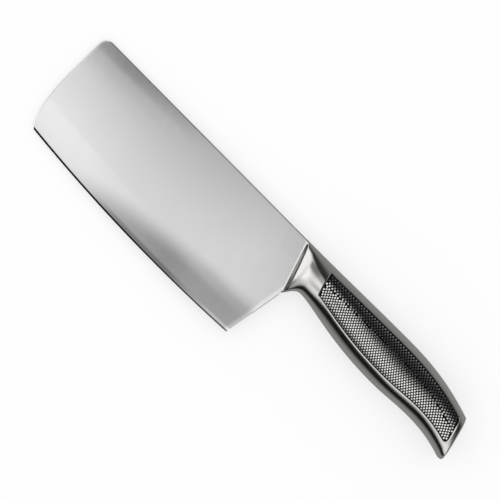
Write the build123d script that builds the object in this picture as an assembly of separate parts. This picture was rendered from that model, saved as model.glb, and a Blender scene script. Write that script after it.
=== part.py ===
from build123d import *

import os
from math import cos, radians, sin, tan

# A wide kitchen cleaver: a ground steel blade, a flared bolster, a hollow handle of two welded half
# shells closed by a cap, and a dotted grip panel let into each shell.
# Lengths are in millimetres and angles in degrees.
# The knife is drawn lying flat on its middle plane, butt towards +X and spine towards +Y, from the
# point where the bolster's front meets the spine. A depth is a distance below the line of the spine,
# a reach is a distance behind the bolster's front, and a station is the reach of a slanted section
# where it crosses the line of the spine. A turn is an angle below straight back.

# Blade
blade_length = 165.5
blade_height = 72.7
spine_thickness = 2.2
lowest_place = 110.5  # from the front edge to the lowest point of the cutting edge
front_corner_depth = 67.8
front_corner_setback = 8.4
front_straight = 27.0
front_turn = 90.0
front_curve_depth = 48.7
front_curve_setback = 1.4
front_corner_turn = 48.0
top_corner_radius = 5.5
heel_depth = 71.0
heel_reach = 4.9
heel_top_drop = 0.8
spine_round = 0.35
heel_round = 0.9

# Grind of the blade, measured up from the cutting edge
grind_height = 19.0
grind_bow = 0.12
bevel_height = 1.4
bevel_thickness = 0.5
edge_thickness = 0.08

# Tang, the part of the blade inside the handle, a little thinner than the blade
tang_thickness = 2.0
tang_height = 12.0
tang_length = 36.0
tang_depth = 6.0
tang_corner = 2.0

# Slant of the handle's sections, from the bolster's front to the butt
rake = 18.5
butt_rake = 14.7

# Underside of the handle
toe_depth = 32.8
toe_turn = -48.0
neck_reach = 19.9
neck_depth = 24.85
swell_reach = 84.0
swell_depth = 31.95
waist_reach = 114.5
waist_depth = 30.45
horn_reach = 145.6
horn_depth = 36.0
horn_turn = 20.0

# Top of the handle
bolster_rise = 0.15
crown_reach = 85.0
crown_rise = 1.15
butt_top_reach = 138.4
butt_top_depth = 7.2
butt_top_turn = 18.0

# Half thickness of the handle at its stations
front_half = 3.4
front_flare = 27.0
neck_station = 22.0
neck_half = 7.9
neck_flare = 3.5
swell_station = 74.0
swell_half = 9.6
waist_station = 105.0
waist_half = 9.0
butt_half = 9.8

# Shares by which the curves of a section are pulled on, more being squarer, and by which its widest
# place lies towards the belly
handle_full_share = 0.60
bolster_full_share = 0.74
handle_lean_share = 0.04
bolster_lean_share = 0.30

# Bolster
seam_station = 12.0
spigot_length = 7.0
lip_height = 0.45
lip_width = 0.9
collar_slope = 48.0

# Shells, panels and cap
wall = 1.2
panel_front_reach = 22.6
panel_front_rake = 15.0
panel_top_margin = 4.1
panel_low_margin = 7.8
panel_end_margin = 4.2
panel_front_corner = 0.6
panel_top_corner = 3.6
panel_low_corner = 1.9
recess_depth = 0.9
panel_thickness = 0.7
cap_thickness = 2.4
cap_dome = 1.0

# Clearances and working values
slot_gap = 0.05
spigot_gap = 0.08
panel_gap = 0.08
overrun = 5.0

# Shares of each curve's chord by which its two ends are pulled straight on
throat_pull_shares = (0.38, 0.38)
palm_pull_shares = (0.16, 0.53)
waist_pull_shares = (0.40, 0.40)
horn_pull_shares = (0.40, 0.30)
back_pull_shares = (0.40, 0.33)

# Shares of the handle's length at which its skin and its hollow are drawn
skin_shares = (0.0, 0.015, 0.03, 0.05, 0.075, 0.105, 0.14, 0.19, 0.25, 0.32,
               0.40, 0.48, 0.56, 0.64, 0.72, 0.79, 0.86, 0.93, 1.0)
hollow_shares = (0.0, 0.075, 0.14, 0.25, 0.40, 0.56, 0.72, 0.86, 1.0)

# Shares of the cap's height and of its half thickness that shape its rounded rim and domed end
rim_rise_share = 0.60
rim_draw_share = 0.26
dome_rise_share = 0.90
dome_draw_share = 0.82
CAP_STEPS = 6
HALVINGS = 30

blade_half = spine_thickness / 2
butt_station = butt_top_reach - butt_top_depth * tan(radians(butt_rake))
cap_station = butt_station - cap_thickness / cos(radians(butt_rake))


def point(reach, depth):
    """A point of the side view."""
    return Vector(reach, -depth)


def heading(turn):
    """A direction of the side view, turned so far below straight back."""
    return Vector(cos(radians(turn)), -sin(radians(turn)))


def rake_at(station):
    """The slant of a station, which eases from the bolster's to the butt's."""
    share = min(station / cap_station, 1)
    return radians(rake + (butt_rake - rake) * share)


def on_station(station, depth):
    """The point of a slanted station at a depth."""
    return point(station + depth * tan(rake_at(station)), depth)


def curve(start, start_turn, end, end_turn, pull_shares):
    """A smooth curve that leaves one point and reaches the next at given turns."""
    chord = (end - start).length
    leave = start + heading(start_turn) * chord * pull_shares[0]
    reach = end - heading(end_turn) * chord * pull_shares[1]
    return Bezier(start, leave, reach, end)


def plate(outline, thickness):
    """A flat outline of the side view as a plate astride the middle plane."""
    return extrude(outline, amount=thickness / 2, both=True)


def station_plane(station):
    """The slanted plane of a station, facing the butt, with its first axis down the slant."""
    slant = rake_at(station)
    return Plane(origin=(station, 0, 0), x_dir=(sin(slant), -cos(slant), 0), z_dir=(cos(slant), sin(slant), 0))


# Lines of the side view and of the thickness, which the sections follow

def belly_line():
    """The underside of the handle, from the bolster's toe to past the horn."""
    toe = on_station(0, toe_depth)
    neck = point(neck_reach, neck_depth)
    swell = point(swell_reach, swell_depth)
    waist = point(waist_reach, waist_depth)
    horn = point(horn_reach, horn_depth)
    return Wire([
        curve(toe, toe_turn, neck, 0, throat_pull_shares),
        curve(neck, 0, swell, 0, palm_pull_shares),
        curve(swell, 0, waist, 0, waist_pull_shares),
        curve(waist, 0, horn, horn_turn, horn_pull_shares),
        Line(horn, horn + heading(horn_turn) * overrun * 2),
    ])


def back_line():
    """The top of the handle, from the bolster's front to past the butt."""
    front = point(0, -bolster_rise)
    crown = point(crown_reach, -crown_rise)
    butt_top = point(butt_top_reach, butt_top_depth)
    return Wire([
        curve(front, 0, crown, 0, back_pull_shares),
        curve(crown, 0, butt_top, butt_top_turn, back_pull_shares),
        Line(butt_top, butt_top + heading(butt_top_turn) * overrun * 2),
    ])


def thickness_line():
    """Half the handle's thickness, as a depth at each station."""
    front = point(0, front_half)
    neck = point(neck_station, neck_half)
    swell = point(swell_station, swell_half)
    waist = point(waist_station, waist_half)
    butt = point(butt_top_reach + overrun, butt_half)
    return Wire([
        curve(front, front_flare, neck, neck_flare, throat_pull_shares),
        curve(neck, neck_flare, swell, 0, waist_pull_shares),
        curve(swell, 0, waist, 0, waist_pull_shares),
        curve(waist, 0, butt, 0, waist_pull_shares),
    ])


def depth_at(line, station, lean):
    """The depth at which a line crosses a station that leans so far back for each unit of depth."""
    low, high = 0.0, 1.0
    for _ in range(HALVINGS):
        middle = (low + high) / 2
        found = line @ middle
        if found.X + found.Y * lean < station:
            low = middle
        else:
            high = middle
    return -(line @ low).Y


BELLY = belly_line()
BACK = back_line()
THICKNESS = thickness_line()


# Handle form

def section(station, inset=0):
    """The handle's section at a station, as a face drawn in from the skin by an inset."""
    slant = rake_at(station)
    top = depth_at(BACK, station, tan(slant)) / cos(slant) + inset
    low = depth_at(BELLY, station, tan(slant)) / cos(slant) - inset
    wide = depth_at(THICKNESS, station, 0) - inset
    flare = max(0.0, 1 - station / neck_station) ** 2
    full = handle_full_share + (bolster_full_share - handle_full_share) * flare
    lean = handle_lean_share + (bolster_lean_share - handle_lean_share) * flare
    widest = (top + low + (low - top) * lean) / 2

    def quarter(end, side):
        return Bezier(
            (end, 0),
            (end, side * wide * full),
            (widest + (end - widest) * full, side * wide),
            (widest, side * wide),
        )

    quarters = [quarter(top, 1), quarter(low, 1), quarter(low, -1), quarter(top, -1)]
    return station_plane(station) * make_face(quarters)


def handle_form():
    """The whole handle from the bolster's front to the cap, as one smooth solid."""
    return loft([section(share * cap_station) for share in skin_shares])


def inner_form(inset, shares=skin_shares):
    """The handle drawn in from its skin, from just ahead of the bolster's seam to past the cap's."""
    stations = [share * cap_station for share in shares]
    ahead = [station for station in stations if station < seam_station]
    stations = stations[len(ahead) - 1:] + [butt_station]
    return loft([section(station, inset) for station in stations])


# Blade

def edge_arc():
    """The cutting edge, one long arc from the front corner to the heel."""
    front = point(front_corner_setback - blade_length, front_corner_depth)
    lowest = point(lowest_place - blade_length, blade_height)
    heel = point(heel_reach, heel_depth)
    return ThreePointArc(front, lowest, heel)


def blade_outline():
    """The outline of the blade up to the bolster's front."""
    top = point(-blade_length, 0)
    straight_end = point(-blade_length, front_straight)
    edge = edge_arc()
    front = Spline(
        straight_end,
        point(front_curve_setback - blade_length, front_curve_depth),
        edge @ 0,
        tangents=[heading(front_turn), heading(front_corner_turn)],
    )
    heel_top = on_station(0, toe_depth + heel_top_drop)
    outline = make_face([
        Line(top, straight_end),
        front,
        edge,
        Line(edge @ 1, heel_top),
        Line(heel_top, point(0, 0)),
        Line(point(0, 0), top),
    ])
    corner = outline.vertices().sort_by_distance(top)[0]
    return fillet(corner, top_corner_radius)


def grind_cutter():
    """What the grind and the sharpening take off one side, swung round the edge's centre."""
    edge = edge_arc()
    radius = edge.radius
    shoulder = (radius - grind_height, blade_half)
    bevel = (radius - bevel_height, bevel_thickness / 2)
    tip = (radius, edge_thickness / 2)
    bowed = SagittaArc(shoulder, bevel, grind_bow)
    profile = make_face(bowed.edges() + Polyline(
        bevel,
        tip,
        (radius + overrun, edge_thickness / 2),
        (radius + overrun, blade_half + overrun),
        (radius - grind_height, blade_half + overrun),
        shoulder,
    ).edges())
    return Pos(edge.arc_center) * revolve(Plane.XZ * profile, Axis.Z)


def tang_outline(gap=0):
    """The tang seen from the side, grown by a gap, with its front end inside the blade."""
    front = on_station(0, tang_depth).X - overrun
    centre = point(front + (tang_length + overrun) / 2, tang_depth + tang_height / 2)
    return Pos(centre) * RectangleRounded(
        tang_length + overrun + 2 * gap, tang_height + 2 * gap, tang_corner
    )


def make_blade():
    body = plate(blade_outline(), spine_thickness)
    heel = on_station(0, toe_depth + heel_top_drop)
    rims = body.edges().filter_by(lambda rim: abs(abs(rim.center().Z) - blade_half) < slot_gap)
    heel_rims = rims.sort_by_distance((heel + edge_arc() @ 1) / 2)[:2]
    spine_rims = rims.sort_by_distance(point(-blade_length / 2, 0))[:2]
    body = fillet(heel_rims, heel_round)
    body = fillet(spine_rims, spine_round)
    cutter = grind_cutter()
    body = body - cutter - mirror(cutter, about=Plane.XY)
    return body + plate(tang_outline(), tang_thickness)


# Bolster

def collar_cutter():
    """What the sloped step behind the bolster's lip takes off one side."""
    lip = blade_half + lip_height
    climb = 2 * overrun
    profile = Polygon(
        (-overrun, lip),
        (lip_width, lip),
        (lip_width + climb / tan(radians(collar_slope)), lip + climb),
        (-overrun, lip + climb),
        align=None,
    )
    front = station_plane(0)
    place = Plane(origin=-front.x_dir * overrun, x_dir=front.z_dir, z_dir=front.x_dir)
    return extrude(place * profile, amount=toe_depth / cos(radians(rake)) + 2 * overrun)


def make_bolster(form):
    seam = station_plane(seam_station)
    collar = split(form, seam, keep=Keep.BOTTOM)
    cutter = collar_cutter()
    collar = collar - cutter - mirror(cutter, about=Plane.XY)
    spigot = split(inner_form(wall + spigot_gap, hollow_shares), seam, keep=Keep.TOP)
    spigot = split(spigot, station_plane(seam_station + spigot_length), keep=Keep.BOTTOM)
    slot = plate(tang_outline(slot_gap), tang_thickness + 2 * slot_gap)
    return collar + spigot - slot


# Shells, panels and cap

def butt_line(margin):
    """The line of the butt's face in the side view, moved forward by a margin."""
    station = butt_station + (cap_dome - margin) / cos(radians(butt_rake))
    return Line(on_station(station, -butt_top_depth), on_station(station, horn_depth + overrun))


def panel_outline(grow=0):
    """The grip panel's recess in the side view, grown all round by so much."""
    top = BACK.moved(Pos(0, grow - panel_top_margin))
    low = BELLY.moved(Pos(0, panel_low_margin - grow))
    band = make_face(top.edges() + low.edges() + [Line(top @ 1, low @ 1), Line(low @ 0, top @ 0)])
    front_high = point(panel_front_reach - grow / cos(radians(panel_front_rake)), 0)
    front_low = front_high - Vector(0, horn_depth) + Vector(horn_depth * tan(radians(panel_front_rake)), 0)
    butt = butt_line(panel_end_margin - grow)
    span = make_face(Polyline(front_high, front_low, butt @ 1, butt @ 0, front_high).edges())
    outline = band & span
    corners = outline.vertices().sort_by(Axis.X)
    low_end, top_end = corners[-1].center(), corners[-2].center()
    outline = fillet(corners[:2], panel_front_corner + grow)
    outline = fillet(outline.vertices().sort_by_distance(top_end)[0], panel_top_corner + grow)
    return fillet(outline.vertices().sort_by_distance(low_end)[0], panel_low_corner + grow)


def make_shell(form):
    """The shell of the near side, pressed in behind its panel."""
    near = split(form, Plane.XY, keep=Keep.TOP)
    near = split(near, station_plane(seam_station), keep=Keep.TOP)
    tall = 2 * swell_half + overrun
    pressed = plate(panel_outline(wall), 2 * tall) - inner_form(recess_depth + wall, hollow_shares)
    hollow = inner_form(wall, hollow_shares) - pressed
    recess = plate(panel_outline(), 2 * tall) - inner_form(recess_depth)
    return near - hollow - recess


def make_panel():
    """The panel of the near side, following the shell's curve under its skin."""
    tall = 2 * swell_half + overrun
    slab = extrude(panel_outline(-panel_gap), amount=tall)
    skin = inner_form(recess_depth - panel_thickness)
    floor = inner_form(recess_depth - panel_gap)
    return slab & (skin - floor)


def make_cap():
    """The cap that closes the butt, rounded at its rim and domed a little."""
    height = cap_thickness + cap_dome
    profile = Bezier(
        (0, 0),
        (height * rim_rise_share, 0),
        (height * dome_rise_share, butt_half * rim_draw_share),
        (height, butt_half * dome_draw_share),
    )
    sections = []
    for step in range(CAP_STEPS + 1):
        rise = profile @ (step / CAP_STEPS)
        sections.append(section(cap_station + rise.X / cos(radians(butt_rake)), rise.Y))
    return loft(sections)


# The whole knife

def all_nodes():
    """Every piece by its name, each in its place."""
    form = handle_form()
    shell = make_shell(form)
    panel = make_panel()
    return {
        "blade": make_blade(),
        "bolster": make_bolster(form),
        "handle_shell_left": shell,
        "handle_shell_right": mirror(shell, about=Plane.XY),
        "grip_panel_left": panel,
        "grip_panel_right": mirror(panel, about=Plane.XY),
        "butt_cap": make_cap(),
    }


def home(nodes):
    """The move that puts the middle of the knife's underside, as it lies flat, at the origin."""
    boxes = [node.bounding_box() for node in nodes.values()]
    low = Vector(*[min(getattr(box.min, axis) for box in boxes) for axis in "XYZ"])
    high = Vector(*[max(getattr(box.max, axis) for box in boxes) for axis in "XYZ"])
    return Pos(-(low.X + high.X) / 2, -(low.Y + high.Y) / 2, -low.Z)


if __name__ == "__main__":
    os.makedirs("parts", exist_ok=True)
    nodes = all_nodes()
    move = home(nodes)
    for name, node in nodes.items():
        export_step(move * node, f"parts/{name}.step")
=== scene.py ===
import logging
import math
from dataclasses import dataclass, field
from enum import Enum
from typing import Sequence, Union

import bpy
import numpy as np
from mathutils import Matrix, Vector


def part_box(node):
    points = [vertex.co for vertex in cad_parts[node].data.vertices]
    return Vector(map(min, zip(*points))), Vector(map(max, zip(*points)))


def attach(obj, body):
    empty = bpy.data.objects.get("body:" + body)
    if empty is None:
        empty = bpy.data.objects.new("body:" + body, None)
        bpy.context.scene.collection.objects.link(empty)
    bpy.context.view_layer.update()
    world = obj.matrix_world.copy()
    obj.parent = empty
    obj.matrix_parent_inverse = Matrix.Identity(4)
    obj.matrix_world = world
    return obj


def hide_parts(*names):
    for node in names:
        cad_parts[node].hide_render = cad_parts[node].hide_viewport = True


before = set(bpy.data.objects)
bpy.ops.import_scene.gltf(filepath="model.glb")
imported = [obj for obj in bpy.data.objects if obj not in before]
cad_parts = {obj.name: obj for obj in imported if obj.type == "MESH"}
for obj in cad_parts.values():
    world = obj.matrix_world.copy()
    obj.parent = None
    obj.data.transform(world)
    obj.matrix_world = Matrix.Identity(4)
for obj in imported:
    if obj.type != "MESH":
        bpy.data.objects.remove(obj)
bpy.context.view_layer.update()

# Looks of a wide kitchen cleaver that lies on its side.
# Sizes are in millimetres of the side view: a reach is counted back from the point where the
# bolster's front meets the spine, a depth down from the line of the spine, and z from the middle
# plane towards the viewer. A station is the reach of a slanted section at the line of the spine.

MM = 0.001
LINE_SAMPLES = 400
HALVINGS = 26
STATION_ROUNDS = 6
TINY = 1e-12
HALF_TURN = 180.0
NOISE_MEAN = 0.5
BLADE_HALF = 1.1
MIRROR = np.array([1.0, 1.0, -1.0])

Pair = tuple[float, float]
Marks = tuple[float, float, float, float]
Amount = Union["Value", float]
Inputs = dict[Union[str, int], object]
Run = tuple[float, float, int]

log = logging.getLogger("cleaver")


class Side(Enum):
    """The two sides of the knife, as the sign of z."""

    LEFT = 1
    RIGHT = -1

    @property
    def flip(self) -> np.ndarray:
        """Factors that take a point of the near side to this side."""
        return np.array([1.0, 1.0, float(self.value)])


class Zone(Enum):
    """The two fields of dots on a grip panel, which follow its upper and its lower edge."""

    UPPER = "upper"
    LOWER = "lower"


# Small helpers


def tan_of(degrees: float) -> float:
    """Tangent of an angle in degrees."""
    return math.tan(math.radians(degrees))


def heading(turn: float) -> np.ndarray:
    """Unit step in the side view at an angle below straight back, in degrees."""
    return np.array([math.cos(math.radians(turn)), math.sin(math.radians(turn))])


def bend(start: Pair, start_turn: float, end: Pair, end_turn: float, pulls: Pair) -> np.ndarray:
    """Smooth line that leaves one point and reaches the next at given turns.

    Args:
        start: Reach and depth of the first point.
        start_turn: Turn on leaving it, in degrees.
        end: Reach and depth of the last point.
        end_turn: Turn on reaching it, in degrees.
        pulls: Shares of the chord by which the two ends run straight on.

    Returns:
        Points of the line, one row each.
    """
    first, last = np.array(start, float), np.array(end, float)
    chord = float(np.linalg.norm(last - first))
    leave = first + heading(start_turn) * chord * pulls[0]
    arrive = last - heading(end_turn) * chord * pulls[1]
    share = np.linspace(0.0, 1.0, LINE_SAMPLES)[:, None]
    rest = 1.0 - share
    return rest**3 * first + 3 * rest**2 * share * leave + 3 * rest * share**2 * arrive + share**3 * last


def spread(line: np.ndarray, shares: np.ndarray) -> np.ndarray:
    """Points of a line at given shares of its length.

    Args:
        line: Points of the line.
        shares: Shares from 0 to 1.

    Returns:
        One point for each share.
    """
    steps = np.linalg.norm(np.diff(line, axis=0), axis=1)
    along = np.concatenate([[0.0], np.cumsum(steps)]) / steps.sum()
    return np.stack([np.interp(shares, along, line[:, axis]) for axis in range(line.shape[1])], axis=1)


def graded(count: int, first: Sequence[float], last: Sequence[float]) -> np.ndarray:
    """Shares from 0 to 1 that are even but for closer ones near both ends.

    Args:
        count: How many even shares.
        first: Shares added near the start.
        last: Shares added near the end.

    Returns:
        All shares in order.
    """
    even = np.linspace(0, 1, count)
    even = even[(even > first[-1]) & (even < last[0])]
    return np.concatenate([[0.0], first, even, last, [1.0]])


def distance_to(places: np.ndarray, line: np.ndarray, pieces: int) -> np.ndarray:
    """Distance from places of the side view to a line.

    Args:
        places: Places, one row each.
        line: Points of the line.
        pieces: How many points the line is cut by.

    Returns:
        One distance for each place.
    """
    dense = spread(line, np.linspace(0, 1, pieces))
    best = np.full(len(places), np.inf)
    moves = np.diff(dense, axis=0)
    for one, move, size in zip(dense[:-1], moves, np.maximum((moves**2).sum(axis=1), TINY)):
        share = np.clip(((places - one) @ move) / size, 0, 1)
        best = np.minimum(best, np.hypot(*(places - one - share[:, None] * move).T))
    return best


def unit(vectors: np.ndarray) -> np.ndarray:
    """Vectors scaled to length one."""
    return vectors / np.maximum(np.linalg.norm(vectors, axis=-1, keepdims=True), TINY)


def tangents(points: np.ndarray, axis: int, closed: bool = False) -> np.ndarray:
    """Directions along one axis of a grid of points.

    Args:
        points: Grid of points.
        axis: Axis of the grid to walk along.
        closed: Whether the grid joins up with itself along that axis.

    Returns:
        One unit direction for each point.
    """
    if closed:
        ahead = unit(np.roll(points, -1, axis) - points)
        return unit(ahead + np.roll(ahead, 1, axis))
    step = unit(np.diff(points, axis=axis))
    first, last = np.take(step, [0], axis), np.take(step, [-1], axis)
    return unit(np.concatenate([first, step], axis) + np.concatenate([step, last], axis))


def facings(grid: np.ndarray) -> np.ndarray:
    """Directions square to a grid whose columns close on themselves."""
    return np.cross(tangents(grid, 1, closed=True), tangents(grid, 0))


def smooth(value: np.ndarray, start: float, end: float) -> np.ndarray:
    """Smooth step from 0 at the start to 1 at the end."""
    share = np.clip((value - start) / (end - start), 0.0, 1.0)
    return share**2 * (3 - 2 * share)


def round_drop(inside: np.ndarray, width: float, height: float) -> np.ndarray:
    """How far a rounded rim falls below its face.

    Args:
        inside: Distance inside the rim.
        width: Width of the round.
        height: Height of the round.

    Returns:
        Drop at each distance, from the whole height at the rim to nothing.
    """
    share = np.clip(1 - inside / width, 0.0, 1.0)
    return height * (1 - np.sqrt(np.maximum(1 - share**2, 0.0)))


def add_object(name: str, data: bpy.types.ID) -> bpy.types.Object:
    """Makes an object and links it to the scene.

    Args:
        name: Name of the object.
        data: Its mesh, curve or camera.

    Returns:
        The object.
    """
    thing = bpy.data.objects.new(name, data)
    bpy.context.scene.collection.objects.link(thing)
    return thing


@dataclass
class FrameMap:
    """Takes millimetres of the side view to metres of the shared frame."""

    origin: Vector

    def place(self, points: np.ndarray) -> np.ndarray:
        """Metres in the frame for points given as reach, height above the spine and z."""
        return points * MM + np.array(self.origin)

    def spot(self, reach: float, height: float = 0.0, z: float = 0.0) -> list[float]:
        """Metres in the frame for one point."""
        return self.place(np.array([reach, height, z])).tolist()


@dataclass
class MeshDraft:
    """A mesh in the making: points, normals and faces."""

    points: list[np.ndarray] = field(default_factory=list)
    normals: list[np.ndarray] = field(default_factory=list)
    faces: list[list[int]] = field(default_factory=list)
    count: int = 0

    def _add(self, points: np.ndarray, normals: np.ndarray) -> int:
        """Stores points with their normals.

        Args:
            points: Points in any grid.
            normals: Outward normal of each.

        Returns:
            Number of the first point.
        """
        start = self.count
        self.points.append(points.reshape(-1, 3))
        self.normals.append(normals.reshape(-1, 3))
        self.count += len(self.points[-1])
        return start

    def grid(self, points: np.ndarray, normals: np.ndarray, closed: bool = False) -> None:
        """Adds a grid of quads, turned to agree with its normals.

        Args:
            points: Grid of points.
            normals: Outward normal of each point.
            closed: Whether the last column joins the first.
        """
        start = self._add(points, normals)
        numbers = np.arange(points.shape[0] * points.shape[1]).reshape(points.shape[:2])
        if closed:
            numbers = np.concatenate([numbers, numbers[:, :1]], axis=1)
        corners = (numbers[:-1, :-1], numbers[:-1, 1:], numbers[1:, 1:], numbers[1:, :-1])
        quads = np.stack(corners, axis=-1).reshape(-1, 4)
        places, outward = self.points[-1][quads], self.normals[-1][quads].sum(axis=1)
        across = np.cross(places[:, 2] - places[:, 0], places[:, 3] - places[:, 1])
        turned = (across * outward).sum(axis=1) < 0
        quads[turned] = quads[turned, ::-1]
        self.faces += (quads + start).tolist()

    def plate(self, ring: np.ndarray, neighbour: np.ndarray) -> None:
        """Closes a ring with one flat face that has a normal of its own.

        Args:
            ring: Points round the face.
            neighbour: The next ring on the inner side of the face.
        """
        around = np.cross(ring, np.roll(ring, -1, axis=0)).sum(axis=0)
        forward = float(np.dot(around, ring.mean(axis=0) - neighbour.mean(axis=0))) > 0
        start = self._add(ring, np.tile(unit(around if forward else -around), (len(ring), 1)))
        numbers = range(start, start + len(ring))
        self.faces.append(list(numbers if forward else reversed(numbers)))

    def build(self, name: str, frame_map: FrameMap, material: bpy.types.Material) -> bpy.types.Object:
        """Makes the object.

        Args:
            name: Name of the piece.
            frame_map: Where the side view lies in the frame.
            material: Finish of the piece.

        Returns:
            The new object, linked to the scene.
        """
        mesh = bpy.data.meshes.new(name)
        mesh.from_pydata(frame_map.place(np.concatenate(self.points)).tolist(), [], self.faces)
        mesh.polygons.foreach_set("use_smooth", [True] * len(mesh.polygons))
        mesh.normals_split_custom_set_from_vertices(unit(np.concatenate(self.normals)).tolist())
        mesh.materials.append(material)
        return add_object(name, mesh)


# Forms


@dataclass
class HandleForm:
    """The skin of the whole handle, from the bolster's front to the butt."""

    rake: float = 18.5
    butt_rake: float = 14.7
    toe_depth: float = 32.8
    toe_turn: float = -48.0
    neck: Pair = (19.9, 24.85)
    swell: Pair = (84.0, 31.95)
    waist: Pair = (114.5, 30.45)
    horn: Pair = (145.6, 36.0)
    horn_turn: float = 20.0
    horn_reach: float = 5.0
    horn_lift: float = 3.2
    bolster_rise: float = 0.15
    crown: Pair = (85.0, -1.15)
    butt_top: Pair = (138.4, 7.2)
    butt_top_turn: float = 18.0
    front_half: float = 3.4
    front_flare: float = 27.0
    neck_half: Pair = (22.0, 7.9)
    neck_flare: float = 3.5
    swell_half: Pair = (74.0, 9.6)
    waist_half: Pair = (105.0, 9.0)
    butt_half: float = 9.8
    # At the bolster, along the handle and at the butt.
    fulls: tuple[float, float, float] = (0.74, 0.585, 0.79)
    leans: tuple[float, float, float] = (0.30, 0.04, -0.20)
    full_fade: Marks = (8.0, 32.0, 104.0, 134.0)
    cap_thickness: float = 2.4
    cap_dome: float = 1.0
    overrun: float = 5.0
    table_step: float = 0.1
    least_half: float = 0.01

    def __post_init__(self) -> None:
        """Draws the guide lines and tables them by station."""
        throat, palm, waist = (0.38, 0.38), (0.16, 0.53), (0.40, 0.40)
        tail, crest = (0.40, 0.30), (0.40, 0.33)
        self.butt_cos = math.cos(math.radians(self.butt_rake))
        self.butt_station = self.butt_top[0] - self.butt_top[1] * tan_of(self.butt_rake)
        self.cap_station = self.butt_station - self.cap_thickness / self.butt_cos
        toe = (self.toe_depth * tan_of(self.rake), self.toe_depth)
        past_horn = np.array(self.horn) + heading(self.horn_turn) * self.overrun * 2
        past_butt = np.array(self.butt_top) + heading(self.butt_top_turn) * self.overrun * 2
        self.belly = np.concatenate([
            bend(toe, self.toe_turn, self.neck, 0, throat),
            bend(self.neck, 0, self.swell, 0, palm),
            bend(self.swell, 0, self.waist, 0, waist),
            bend(self.waist, 0, self.horn, self.horn_turn, tail),
            np.linspace(self.horn, past_horn, LINE_SAMPLES),
        ])
        self.back = np.concatenate([
            bend((0.0, -self.bolster_rise), 0, self.crown, 0, crest),
            bend(self.crown, 0, self.butt_top, self.butt_top_turn, crest),
            np.linspace(self.butt_top, past_butt, LINE_SAMPLES),
        ])
        halves = np.concatenate([
            bend((0.0, self.front_half), self.front_flare, self.neck_half, self.neck_flare, throat),
            bend(self.neck_half, self.neck_flare, self.swell_half, 0, waist),
            bend(self.swell_half, 0, self.waist_half, 0, waist),
            bend(self.waist_half, 0, (self.butt_top[0] + self.overrun, self.butt_half), 0, waist),
        ])
        self.stations = np.arange(0.0, self.butt_station + self.overrun, self.table_step)
        self.tops = self.crossings(self.back)
        self.lows = self.crossings(self.belly)
        self.halves = np.interp(self.stations, halves[:, 0], halves[:, 1])

    def slant(self, station: np.ndarray) -> np.ndarray:
        """Slant of a station's section, in radians."""
        share = np.minimum(np.asarray(station) / self.cap_station, 1.0)
        return np.radians(self.rake + (self.butt_rake - self.rake) * share)

    def crossings(self, line: np.ndarray) -> np.ndarray:
        """Distance down each tabled station at which a line of the side view crosses it.

        Args:
            line: Points of the line.

        Returns:
            One distance for each station of the table.
        """
        found = []
        for station, slant in zip(self.stations, self.slant(self.stations)):
            lean = line[:, 0] - line[:, 1] * math.tan(slant)
            found.append(float(np.interp(station, lean, line[:, 1])) / math.cos(slant))
        return np.array(found)

    def section(self, station: np.ndarray, inset: np.ndarray) -> tuple[np.ndarray, ...]:
        """Sizes of the section at each station.

        Args:
            station: Stations.
            inset: How far the section is drawn in from the skin.

        Returns:
            Top, low, half thickness, widest place and fullness.
        """
        end = self.cap_station + (self.cap_thickness + self.cap_dome) / self.butt_cos
        near_end = np.clip(1 - (end - station) / self.horn_reach, 0, 1)
        top = np.interp(station, self.stations, self.tops) + inset
        low = np.interp(station, self.stations, self.lows) - inset - self.horn_lift * near_end**2
        wide = np.maximum(np.interp(station, self.stations, self.halves) - inset, self.least_half)
        front, neck, waist, butt = self.full_fade
        at_bolster, at_butt = 1 - smooth(station, front, neck), smooth(station, waist, butt)
        flare = np.maximum(0.0, 1.0 - station / self.neck_half[0]) ** 2
        full, lean = (
            along + (ahead - along) * near_bolster + (behind - along) * at_butt
            for (ahead, along, behind), near_bolster in ((self.fulls, at_bolster), (self.leans, flare))
        )
        return top, low, wide, (top + low + (low - top) * lean) / 2, full

    def skin(self, station: np.ndarray, turn: np.ndarray, inset: np.ndarray) -> np.ndarray:
        """Points of the near side of the skin.

        Args:
            station: Station of each point.
            turn: Share of the way round from the back, over the near side, to the belly.
            inset: How far each point is drawn in.

        Returns:
            Points as reach, height and z.
        """
        top, low, wide, widest, full = self.section(station, inset)
        upper = turn <= 0.5
        share = np.where(upper, 2 * turn, 2 * (1 - turn))
        end = np.where(upper, top, low)
        rest = 1 - share
        corner = widest + (end - widest) * full
        down = (rest**3 + 3 * rest**2 * share) * end + 3 * rest * share**2 * corner + share**3 * widest
        out = wide * (3 * rest**2 * share * full + 3 * rest * share**2 + share**3)
        slant = self.slant(station)
        return np.stack([station + np.sin(slant) * down, -np.cos(slant) * down, out], axis=-1)

    def turn_at(self, station: np.ndarray, down: np.ndarray, inset: np.ndarray) -> np.ndarray:
        """Share of the way round at which the section reaches a distance down its station.

        Args:
            station: Stations.
            down: Distance down each.
            inset: How far the section is drawn in.

        Returns:
            One share for each.
        """
        top, low, _, widest, full = self.section(station, inset)
        upper = down < widest
        wanted = np.clip((down - widest) / (np.where(upper, top, low) - widest), 0.0, 1.0)
        near, far = np.zeros_like(wanted), np.ones_like(wanted)
        for _ in range(HALVINGS):
            share = (near + far) / 2
            rest = 1 - share
            past = rest**3 + 3 * rest**2 * share + 3 * rest * share**2 * full > wanted
            near, far = np.where(past, share, near), np.where(past, far, share)
        share = (near + far) / 2
        return np.where(upper, share / 2, 1 - share / 2)

    def height(self, station: np.ndarray, down: np.ndarray, inset: np.ndarray) -> np.ndarray:
        """Height of the drawn-in skin above the middle plane at a place on a station."""
        return self.skin(station, self.turn_at(station, down, inset), inset)[..., 2]

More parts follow.
